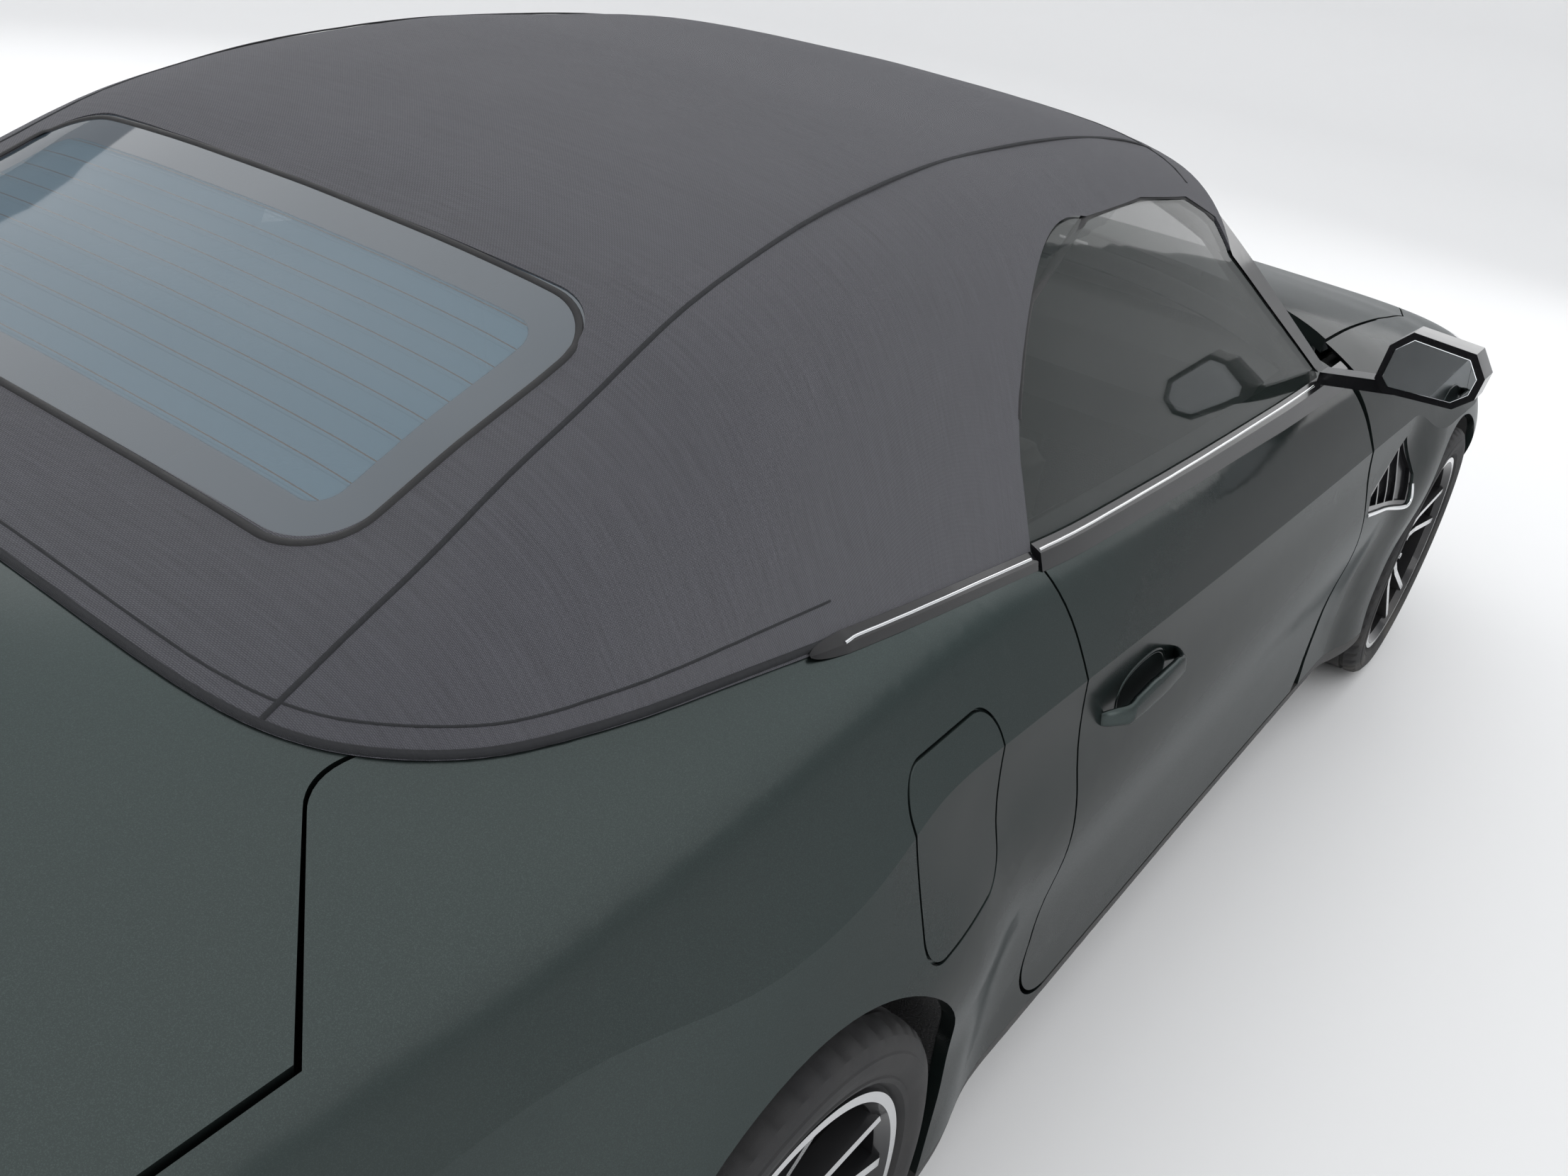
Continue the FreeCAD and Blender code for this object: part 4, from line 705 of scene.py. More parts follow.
@dataclass(frozen=True)
class Rubber(Finish):
    """Black rubber, greyed where it is dry."""

    def layers(self, graph: Graph, at: Socket) -> Coat:
        """Make dry patches and a fine tooth.

        Args:
            graph: the material's node tree.
            at: the object's own coordinates.

        Returns:
            What feeds the shader.
        """
        dry = graph.ramp(graph.noise(at, 16.0, 5.0), 0.3, 0.8)
        tooth = graph.use(EFFECTS.grain(), Vector=at, Scale=900.0)
        colour = graph.blend(graph.times(dry, 0.5), self.colour, scaled(self.colour, 2.4))
        rough = graph.line(dry, 0.15, self.roughness)
        return Coat(colour, rough, 0.0, tooth.outputs["Height"], 0.00015)


@dataclass(frozen=True)
class LampLens(Finish):
    """A coloured lens with moulded light bars behind its surface."""

    bar: Colour = (0.9, 0.05, 0.03)
    levels: tuple[float, float] = (0.735, 0.762)
    half_bar: float = 0.0045

    def layers(self, graph: Graph, at: Socket) -> Coat:
        """Make two light bars along the lens and fine prisms between them.

        Args:
            graph: the material's node tree.
            at: the object's own coordinates.

        Returns:
            What feeds the shader.
        """
        y, z = graph.parts(at)[1:]
        bars = graph.math("MAXIMUM", *(graph.near(z, level, self.half_bar) for level in self.levels))
        prism = graph.wave(y, 1500.0)
        base = graph.blend(graph.line(prism, 0.3, 0.4), self.colour, scaled(self.colour, 0.45))
        colour = graph.blend(bars, base, self.bar)
        glow = graph.blend(bars, (0.0, 0.0, 0.0), self.bar)
        return Coat(colour, self.roughness, 0.0, prism, 0.0001, glow)


PAINT_COLOUR: Colour = (0.040, 0.052, 0.050)
PAINT = MetallicPaint("body_paint", PAINT_COLOUR, 0.36, 0.92, dust=0.06, coat=0.38, coat_roughness=0.14)
CLOTH = RoofCloth("roof_cloth", (0.042, 0.042, 0.050), 0.88, dust=0.06, sheen=0.15)
GLOSS = BlackLacquer("gloss_black", (0.006, 0.006, 0.007), 0.16, dust=0.04, coat=0.12)
GRAINED = Finish("grained_plastic", (0.018, 0.018, 0.019), 0.62, grain=0.0002, dust=0.25)
SEALANT = Finish("underbody_sealant", (0.020, 0.020, 0.021), 0.8, grain=0.0006, grain_scale=180.0, dust=0.5)
CAST = Finish("cast_metal", (0.10, 0.10, 0.10), 0.6, 0.8, grain=0.0004, grain_scale=320.0, dust=0.4)
STEEL = Finish("steel_tube", (0.30, 0.29, 0.28), 0.42, 1.0, grain=0.0001, dust=0.4)
ENGINE = Finish("engine_casting", (0.22, 0.22, 0.23), 0.5, 0.9, grain=0.0005, grain_scale=260.0, dust=0.3)
GLASS = TintedGlass("side_glass", (0.022, 0.029, 0.027), 0.02, dust=0.0, clear=0.54)
SCREEN = TintedGlass("screen_glass", (0.03, 0.045, 0.04), 0.02, dust=0.0, clear=0.78)
# The rear pane's pale blue colour is partly the glass's tint and partly a painted sky reflection.
REAR_GLASS_TINT_AND_SKY = HeatedGlass("rear_glass", (0.10, 0.17, 0.22), 0.03, dust=0.0, clear=0.35, coat=1.0)
LENS = TintedGlass("clear_lens", (0.16, 0.18, 0.20), 0.03, dust=0.0, clear=0.80, coat=0.5)
RED_LENS = LampLens("red_lens", (0.16, 0.006, 0.006), 0.12, dust=0.05, coat=1.0, glow=0.15)
SEAT_LEATHER = Leather("seat_leather", (0.045, 0.038, 0.032), 0.5, dust=0.0, sheen=0.05)
RIM_LEATHER = Leather("steering_leather", (0.014, 0.014, 0.015), 0.42, dust=0.0)
CABIN = Finish("cabin_plastic", (0.020, 0.020, 0.021), 0.6, grain=0.0002, dust=0.0)
ALLOY = MachinedAlloy("machined_alloy", (0.022, 0.022, 0.024), 0.28, 0.6, dust=0.25, coat=0.5)
TYRE = Rubber("tyre_rubber", (0.012, 0.012, 0.013), 0.72, dust=0.35)
SEAL = Rubber("seal_rubber", (0.007, 0.007, 0.008), 0.55, dust=0.08)
CHROME = Finish("bright_metal", (0.70, 0.71, 0.72), 0.10, 1.0, dust=0.05)
SILVER = Finish("reflector_silver", (0.80, 0.81, 0.83), 0.16, 1.0, dust=0.0)
MIRROR = Finish("mirror_glass", (0.86, 0.88, 0.90), 0.015, 1.0, dust=0.0)
PLATE = Finish("blank_plate", (0.72, 0.73, 0.72), 0.35, grain=0.00004, grain_scale=300.0, dust=0.15)
SATIN = Finish("satin_black", (0.010, 0.010, 0.011), 0.32, dust=0.12)
CLOTH_EDGE = RoofCloth("roof_binding", (0.016, 0.017, 0.020), 0.8, dust=0.04, pitch=0.0012)
STITCH = Leather("piping", (0.09, 0.075, 0.06), 0.5, dust=0.0)
PROJECTOR = Finish("projector_glass", (0.10, 0.12, 0.15), 0.04, 0.0, dust=0.0, coat=1.0)
# Darker paint for the patch inside the door's finger dish: painted shade of the dish's recess, which is not
# cut into the door.
DISH_SHADE = MetallicPaint("dish_paint", (0.022, 0.028, 0.027), 0.5, 0.92, dust=0.1)
LIGHT_BAR = Finish("light_bar", (0.80, 0.82, 0.84), 0.25, dust=0.0, coat=0.8)
STOP_LENS = Finish("stop_lens", (0.20, 0.008, 0.008), 0.15, dust=0.05, coat=1.0)
SLOTS: dict[str, Finish] = {
    "body_paint": PAINT, "underbody": SEALANT, "cast": CAST, "steel": STEEL, "engine_block": ENGINE,
    "gloss_black": GLOSS, "matte_black": GRAINED, "window_glass": GLASS, "roof_fabric": CLOTH,
    "lamp_glass": LENS, "red_lamp": RED_LENS, "seat_leather": SEAT_LEATHER, "cabin_plastic": CABIN,
    "wheel_leather": RIM_LEATHER, "alloy": ALLOY, "tyre_rubber": TYRE,
}
OWN_FINISH: dict[str, Finish] = {
    "windscreen": SCREEN, "rear_window": REAR_GLASS_TINT_AND_SKY,
}


# Meshes

class Probe:
    """Rays against some CAD nodes, to set pieces on their real surfaces."""

    def __init__(self, nodes: dict[str, bpy.types.Object], names: list[str]) -> None:
        """Gather the nodes' faces.

        Args:
            nodes: the CAD nodes by name.
            names: the nodes to hit.
        """
        points: list[Vector] = []
        faces: list[tuple[int, ...]] = []
        for name in names:
            mesh = nodes[name].data
            first = len(points)
            points += [v.co.copy() for v in mesh.vertices]
            faces += [tuple(first + i for i in p.vertices) for p in mesh.polygons]
        self.tree = BVHTree.FromPolygons(points, faces)

    def hit(self, start: Place, way: Place) -> Touch | None:
        """Where a ray first meets the surface.

        Args:
            start: the ray's start.
            way: its direction.

        Returns:
            The point and the normal that faces the ray, or None.
        """
        place, normal = self.tree.ray_cast(Vector(start), Vector(way))[:2]
        if place is None:
            return None
        if normal.dot(Vector(way)) > 0:
            normal = -normal
        return place, normal

    def down(self, x: float, y: float) -> Touch | None:
        """Where a ray straight down meets the surface."""
        return self.hit((x, y, 2.0), (0.0, 0.0, -1.0))


def mesh_piece(name: str, points: list, faces: list, finish: Finish, body: str,
               smooth: float | None = 40.0) -> bpy.types.Object:
    """Make a piece from points and faces.

    Args:
        name: the piece's name.
        points: its corners, in the car's frame.
        faces: its faces, as rows of corner numbers.
        finish: its finish.
        body: the CAD body it rides on.
        smooth: the angle in degrees up to which faces are shaded as one, or None for flat faces.

    Returns:
        The piece.
    """
    mesh = bpy.data.meshes.new(name)
    mesh.from_pydata([tuple(p) for p in points], [], faces)
    work = bmesh.new()
    work.from_mesh(mesh)
    bmesh.ops.remove_doubles(work, verts=work.verts, dist=1e-6)
    bmesh.ops.recalc_face_normals(work, faces=work.faces)
    work.to_mesh(mesh)
    work.free()
    piece = bpy.data.objects.new(name, mesh)
    bpy.context.scene.collection.objects.link(piece)
    piece.data.materials.append(finish.material())
    if smooth is not None:
        soften(piece, smooth)
    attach(piece, body)
    return piece


def soften(piece: bpy.types.Object, angle: float) -> None:
    """Shade a mesh smooth but for its sharp edges.

    Args:
        piece: the piece with the mesh.
        angle: the angle in degrees from which an edge is sharp.
    """
    piece.data.shade_smooth()
    limit = math.radians(angle)
    work = bmesh.new()
    work.from_mesh(piece.data)
    for edge in work.edges:
        sharp = len(edge.link_faces) == 2 and edge.calc_face_angle(0.0) > limit
        edge.smooth = not sharp
    work.to_mesh(piece.data)
    work.free()


def recut(name: str, work: bmesh.types.BMesh, finish: Finish, body: str,
          angle: float) -> bpy.types.Object:
    """Make a piece from a CAD node's mesh that was cut or drawn in.

    Args:
        name: the piece's name.
        work: the changed mesh, which is freed.
        finish: its finish.
        body: the body it rides on.
        angle: the angle in degrees from which its edges are sharp.

    Returns:
        The piece.
    """
    mesh = bpy.data.meshes.new(name)
    work.to_mesh(mesh)
    work.free()
    piece = bpy.data.objects.new(name, mesh)
    bpy.context.scene.collection.objects.link(piece)
    mesh.materials.append(finish.material())
    soften(piece, angle)
    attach(piece, body)
    return piece


def opened(node: bpy.types.Object) -> bmesh.types.BMesh:
    """Copy a CAD node's mesh, with its corners joined, to be changed as a new piece.

    Args:
        node: the CAD node.

    Returns:
        The copy.
    """
    work = bmesh.new()
    work.from_mesh(node.data)
    bmesh.ops.remove_doubles(work, verts=work.verts, dist=2e-5)
    return work


def cut_across(work: bmesh.types.BMesh, axis: int, place: float) -> None:
    """Cut every face of a mesh where it crosses a plane.

    Args:
        work: the mesh.
        axis: 0 for a plane across X, 1 for one across Y.
        place: where the plane crosses that axis.
    """
    spot = Vector((0, 0, 0))
    normal = Vector((0, 0, 0))
    spot[axis] = place
    normal[axis] = 1.0
    everything = work.verts[:] + work.edges[:] + work.faces[:]
    bmesh.ops.bisect_plane(work, geom=everything, dist=1e-5, plane_co=spot, plane_no=normal)


def tube(line: list[Vector], radius: float, around: int = 8, closed: bool = False,
         flat: float = 1.0, ups: list[Vector] | None = None) -> tuple[list, list]:
    """A round or flattened bar along a line.

    Args:
        line: the centre line's points.
        radius: its radius across.
        around: the number of sides.
        closed: True if the line is a ring.
        flat: the share of the radius in the direction of the ups.
        ups: the direction out of the surface at each point, if the bar lies on one.

    Returns:
        Points and faces.
    """
    points: list[Vector] = []
    n = len(line)
    for i, p in enumerate(line):
        before = line[i - 1] if i or closed else p
        after = line[(i + 1) % n] if i + 1 < n or closed else p
        way = (after - before).normalized()
        up = ups[i] if ups else Vector((0, 0, 1))
        if abs(way.dot(up)) > 0.95:
            up = Vector((0, 1, 0))
        side = way.cross(up).normalized()
        up = side.cross(way).normalized()
        for k in range(around):
            a = 2 * math.pi * k / around
            points.append(p + side * math.cos(a) * radius + up * math.sin(a) * radius * flat)
    faces = []
    for i in range(n if closed else n - 1):
        for k in range(around):
            a, b = i * around + k, i * around + (k + 1) % around
            c, d = ((i + 1) % n) * around + (k + 1) % around, ((i + 1) % n) * around + k
            faces.append((a, b, c, d))
    if not closed:
        faces.append(tuple(range(around - 1, -1, -1)))
        faces.append(tuple((n - 1) * around + k for k in range(around)))
    return points, faces


def turned(profile: Outline, steps: int, centre: Vector, axis: Vector,
           closed: bool = True) -> tuple[list, list]:
    """A turned form from a profile.

    Args:
        profile: (along the axis, radius) pairs.
        steps: how many steps round.
        centre: the axis's origin.
        axis: its direction.
        closed: True if the profile closes on itself.

    Returns:
        Points and faces.
    """
    way = axis.normalized()
    side = way.orthogonal().normalized()
    other = way.cross(side)
    points = []
    for k in range(steps):
        a = 2 * math.pi * k / steps
        out = side * math.cos(a) + other * math.sin(a)
        points += [centre + way * t + out * r for t, r in profile]
    n = len(profile)
    faces = []
    for k in range(steps):
        for i in range(n if closed else n - 1):
            j = (i + 1) % n
            m = (k + 1) % steps
            faces.append((k * n + i, k * n + j, m * n + j, m * n + i))
    return points, faces


def joined(parts: list[tuple[list, list]]) -> tuple[list, list]:
    """Join several sets of points and faces.

    Args:
        parts: each set's points and faces.

    Returns:
        Points and faces of them all.
    """
    points: list = []
    faces: list = []
    for some, rows in parts:
        first = len(points)
        points += some
        faces += [tuple(first + i for i in row) for row in rows]
    return points, faces


# What the car stands on, the lights and the camera

@dataclass
class Studio:
    """A plain pale floor and backdrop under soft lamps, and the camera."""

    eye: tuple[float, float, float] = (-2.187, -1.324, 1.663)
    yaw: float = 30.75
    pitch: float = 27.04
    roll: float = 10.15
    lens: float = 32.55
    pale: float = 0.86
    glow: float = 0.40
    lamp_rows: tuple[tuple[str, Place, Place, float, float], ...] = (
        ("lamp_over", (0.0, 0.0, 7.4), (0.0, 0.0, 0.4), 24.0, 1150.0),
        ("lamp_right", (-3.0, -6.5, 3.2), (0.0, 0.0, 0.6), 4.0, 60.0),
        ("lamp_left", (2.5, 6.5, 3.6), (0.0, 0.0, 0.6), 4.0, 60.0),
        ("lamp_rear", (-7.0, 0.5, 3.4), (0.0, 0.0, 0.6), 4.0, 45.0),
        ("lamp_front", (7.0, -1.0, 3.4), (0.0, 0.0, 0.6), 4.0, 45.0))

    def build(self) -> None:
        """Make the floor, the lamps, the world and the camera."""
        self.floor()
        self.lamps()
        self.world()
        self.camera()

    def floor(self) -> None:
        """Lay the floor, whose edge curves up far away into the backdrop."""
        rings = [(0.0, 0.0), (6.0, 0.0), (9.0, 0.0), (11.5, 0.25), (13.2, 1.2), (14.0, 3.0), (14.2, 6.5)]
        points, faces = turned([(z, r) for r, z in rings], 96, Vector(), Vector((0, 0, 1)), closed=False)
        mesh = bpy.data.meshes.new("floor")
        mesh.from_pydata([tuple(p) for p in points], [], faces)
        work = bmesh.new()
        work.from_mesh(mesh)
        bmesh.ops.remove_doubles(work, verts=work.verts, dist=1e-5)
        bmesh.ops.recalc_face_normals(work, faces=work.faces)
        bmesh.ops.reverse_faces(work, faces=work.faces)
        work.to_mesh(mesh)
        work.free()
        mesh.shade_smooth()
        floor = bpy.data.objects.new("floor", mesh)
        bpy.context.scene.collection.objects.link(floor)
        material = bpy.data.materials.new("floor")
        material.use_nodes = True
        graph = Graph(material.node_tree)
        shader = graph.add("ShaderNodeBsdfPrincipled")
        shader.inputs["Base Color"].default_value = (self.pale, self.pale, self.pale, 1.0)
        shader.inputs["Roughness"].default_value = 0.9
        end = graph.add("ShaderNodeOutputMaterial")
        graph.feed(end.inputs["Surface"], shader.outputs[0])
        mesh.materials.append(material)

    def lamps(self) -> None:
        """Hang a large soft lamp over the car and weaker ones at its sides."""
        for name, place, target, width, power in self.lamp_rows:
            data = bpy.data.lights.new(name, "AREA")
            data.shape = "DISK"
            data.size = width
            data.energy = power
            lamp = bpy.data.objects.new(name, data)
            lamp.location = place
            lamp.rotation_euler = (Vector(target) - Vector(place)).to_track_quat("-Z", "Y").to_euler()
            bpy.context.scene.collection.objects.link(lamp)

    def world(self) -> None:
        """Fill the room with even pale light."""
        world = bpy.data.worlds.new("room")
        bpy.context.scene.world = world
        world.use_nodes = True
        graph = Graph(world.node_tree)
        glow = graph.add("ShaderNodeBackground")
        glow.inputs["Color"].default_value = (0.92, 0.95, 1.0, 1.0)
        glow.inputs["Strength"].default_value = self.glow
        end = graph.add("ShaderNodeOutputWorld")
        graph.feed(end.inputs["Surface"], glow.outputs[0])

    def camera(self) -> None:
        """Stand the camera where the photograph was taken from."""
        yaw, pitch, roll = (math.radians(a) for a in (self.yaw, self.pitch, self.roll))
        ahead = Vector((math.cos(yaw) * math.cos(pitch), math.sin(yaw) * math.cos(pitch), -math.sin(pitch)))
        right = ahead.cross(Vector((0, 0, 1))).normalized()
        up = right.cross(ahead)
        side = right * math.cos(roll) + up * math.sin(roll)
        top = up * math.cos(roll) - right * math.sin(roll)
        data = bpy.data.cameras.new("camera")
        data.lens = self.lens
        data.sensor_width = 36.0
        data.clip_start = 0.02
        view = bpy.data.objects.new("camera", data)
        rows = [(side[i], top[i], -ahead[i], self.eye[i]) for i in range(3)]
        view.matrix_world = Matrix((*rows, (0, 0, 0, 1)))
        bpy.context.scene.collection.objects.link(view)
        bpy.context.scene.camera = view
        bpy.context.scene.view_settings.view_transform = "Standard"


def dress_nodes(nodes: dict[str, bpy.types.Object], slots: dict[str, str]) -> None:
    """Give every CAD node the finish of its slot, or its own, and smooth its round faces.

    Args:
        nodes: the CAD nodes by name.
        slots: the record's slot of each node.
    """
    for name, node in nodes.items():
        finish = OWN_FINISH.get(name) or SLOTS[slots[name]]
        node.data.materials.clear()
        node.data.materials.append(finish.material())
        soften(node, 32.0)
    LOG.info("%d CAD nodes have their finishes", len(nodes))


# The fabric roof

def swept(name: str, lines: list[list[Touch]], radius: float, finish: Finish, body: str,
          flat: float = 0.6, closed: bool = False) -> bpy.types.Object:
    """Lay bars along lines of surface points and normals, as one piece.

    Args:
        name: the piece's name.
        lines: each line's points with the surface's normals.
        radius: the bars' radius.
        finish: their finish.
        body: the body they ride on.
        flat: their height as a share of the radius.
        closed: True if the lines are rings.

    Returns:
        The piece.
    """
    parts = []
    for line in lines:
        places, normals = zip(*line)
        parts.append(tube(list(places), radius, 8, closed, flat, list(normals)))
    points, faces = joined(parts)
    return mesh_piece(name, points, faces, finish, body, 60.0)


def spline(points: list[tuple[float, ...]], steps: int) -> list[tuple[float, ...]]:
    """A smooth line through points.

    Args:
        points: the points it goes through.
        steps: the steps between two of them.

    Returns:
        The line's points.
    """
    made = []
    n = len(points)
    for i in range(n - 1):
        a, b, c, d = (points[min(n - 1, max(0, k))] for k in (i - 1, i, i + 1, i + 2))
        for j in range(steps):
            t = j / steps
            made.append(tuple(0.5 * (2 * q + (r - p) * t + (2 * p - 5 * q + 4 * r - s) * t * t
                                     + (3 * q - p - 3 * r + s) * t ** 3) for p, q, r, s in zip(a, b, c, d)))
    made.append(tuple(points[-1]))
    return made


@dataclass
class FabricRoof:
    """The cloth roof: its sheet, the lengthwise seams, the hem at its foot and the windows' seals."""

    nodes: dict[str, bpy.types.Object]
    grid: float = 0.045
    bows: tuple[float, ...] = (-0.98, -0.52, -0.08, 0.17)
    flat_half: float = 0.60
    dip: float = 0.0035
    middle: float = -0.55
    seam: tuple[tuple[float, float], ...] = (
        (-1.628, 0.530), (-1.474, 0.524), (-1.278, 0.508), (-0.987, 0.488), (-0.70, 0.470), (-0.40, 0.460),
        (-0.10, 0.462), (0.165, 0.468))
    header: tuple[float, float, float] = (0.118, 0.085, 0.56)
    window: tuple[tuple[float, float], ...] = (
        (-0.656, 0.962), (-0.655, 1.06), (-0.635, 1.13), (-0.572, 1.216), (-0.47, 1.267), (-0.33, 1.2925),
        (-0.13, 1.2995), (0.06, 1.2855), (0.160, 1.249))
    pane: tuple[float, float, float, float] = (-1.318, 0.195, 0.448, 0.07)
    slope: float = 0.46
    flat_size: tuple[float, float] = (1.75, 2.05)
    area: float = 2.55

    def build(self) -> None:
        """Make the sheet and everything sewn or set into it."""
        self.probe = Probe(self.nodes, ["soft_top"])
        self.glass = Probe(self.nodes, ["soft_top", "rear_window"])
        sheet = self.sheet()
        self.seams()
        self.hem()
        self.window_seals()
        self.pane_seal()
        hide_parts("soft_top")

    def sheet(self) -> bpy.types.Object:
        """The cloth itself, cut finer than the solid so that it can be drawn in between the bows.

        Returns:
            The sheet.
        """
        work = opened(self.nodes["soft_top"])
        low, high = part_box("soft_top")
        for axis in (0, 1):
            count = int((high[axis] - low[axis]) / self.grid)
            for i in range(1, count):
                cut_across(work, axis, low[axis] + (high[axis] - low[axis]) * i / count)
        bmesh.ops.triangulate(work, faces=[f for f in work.faces if len(f.verts) > 4])
        self.draw_in(work)
        piece = recut("roof_fabric_sheet", work, CLOTH, "body", 32.0)
        return piece

    def draw_in(self, work: bmesh.types.BMesh) -> None:
        """Let the cloth dip a little between the roof's cross bows.

        Args:
            work: the sheet's mesh.
        """
        for vert in work.verts:
            x, y = vert.co.x, abs(vert.co.y)
            if y > self.flat_half or not self.bows[0] <= x <= self.bows[-1] or vert.normal.z < 0.5:
                continue
            low = max(b for b in self.bows if b <= x + 1e-9)
            high = min([b for b in self.bows if b > x] or [self.bows[-1]])
            share = min(1.0, (x - low) / max(high - low, 1e-6))
            side = 1.0 - (y / self.flat_half) ** 4
            vert.co.z -= self.dip * math.sin(math.pi * share) ** 1.5 * side

    def seams(self) -> None:
        """Sew the two lengthwise seams and the seam across the roof behind the windscreen."""
        ridges = []
        for sign in (-1, 1):
            line = [self.probe.down(x, sign * y) for x, y in spline(list(self.seam), 14)]
            ridges.append([hit for hit in line if hit])
        swept("roof_seams", ridges, 0.0030, CLOTH_EDGE, "body", 0.42)
        rear, bend, half = self.header
        shares = [-1 + i / 20 for i in range(41)]
        across = [self.probe.down(rear + bend * (1 - share ** 2), half * share) for share in shares]
        swept("roof_header_seam", [[hit for hit in across if hit]], 0.003, CLOTH_EDGE, "body", 0.42)

    def edge(self, angle: float, inset: float) -> Touch | None:
        """Find the roof's surface just inside its foot.

        Args:
            angle: the direction from the roof's middle, in radians.
            inset: how far inside the foot.

        Returns:
            The point and its normal, or None.
        """
        near, far = 0.3, 1.6
        for _ in range(22):
            reach = (near + far) / 2
            hit = self.glass.down(self.middle + math.cos(angle) * reach, math.sin(angle) * reach)
            if hit and hit[1].z > 0.12:
                near = reach
            else:
                far = reach
        near -= inset
        return self.glass.down(self.middle + math.cos(angle) * near, math.sin(angle) * near)

    def hem(self) -> None:
        """Bind the foot of the roof with its hem and a row of stitches."""
        span = [math.radians(126 + 108 * i / 150) for i in range(151)]
        outer = [self.edge(a, 0.004) for a in span]
        inner = [self.edge(a, 0.024) for a in span]
        swept("roof_hem", [[h for h in outer if h]], 0.0042, CLOTH_EDGE, "body", 0.6)
        swept("roof_hem_stitch", [[h for h in inner if h]], 0.0014, CLOTH_EDGE, "body", 0.5)

    def window_seals(self) -> None:
        """Black rubber around the side windows, where the cloth ends."""
        lines = []
        for sign in (-1, 1):
            line = []
            for x, z in spline(list(self.window), 8):
                hit = self.probe.hit((x, sign * 1.3, z + 0.007), (0, -sign, 0))
                if hit:
                    line.append((Vector((x, hit[0].y, z)), hit[1]))
            lines.append(line)
        swept("window_seals", lines, 0.0065, SEAL, "body", 0.6)

    def pane_seal(self) -> None:
        """The black line of the rear window's bonding, round its rounded outline."""
        x0, half_long, half_wide, corner = self.pane
        run = math.cos(math.asin(self.slope))
        round_off = corner + 0.004
        line = []
        for cx, cy, start in ((1, 1, 0), (-1, 1, 90), (-1, -1, 180), (1, -1, 270)):
            mid_u, mid_v = cx * (half_long - corner), cy * (half_wide - corner)
            for i in range(13):
                a = math.radians(start + 90 * i / 12)
                line.append((mid_u + round_off * math.cos(a), mid_v + round_off * math.sin(a)))
        outline = []
        for i, (u, v) in enumerate(line):
            after = line[(i + 1) % len(line)]
            steps = max(1, int(math.dist((u, v), after) / 0.02))
            for k in range(steps):
                outline.append((u + (after[0] - u) * k / steps, v + (after[1] - v) * k / steps))
        line = [hit for u, v in outline if (hit := self.glass.down(x0 + u * run, v))]
        swept("rear_window_seal", [line], 0.0042, SEAL, "body", 0.55, closed=True)


# Seats

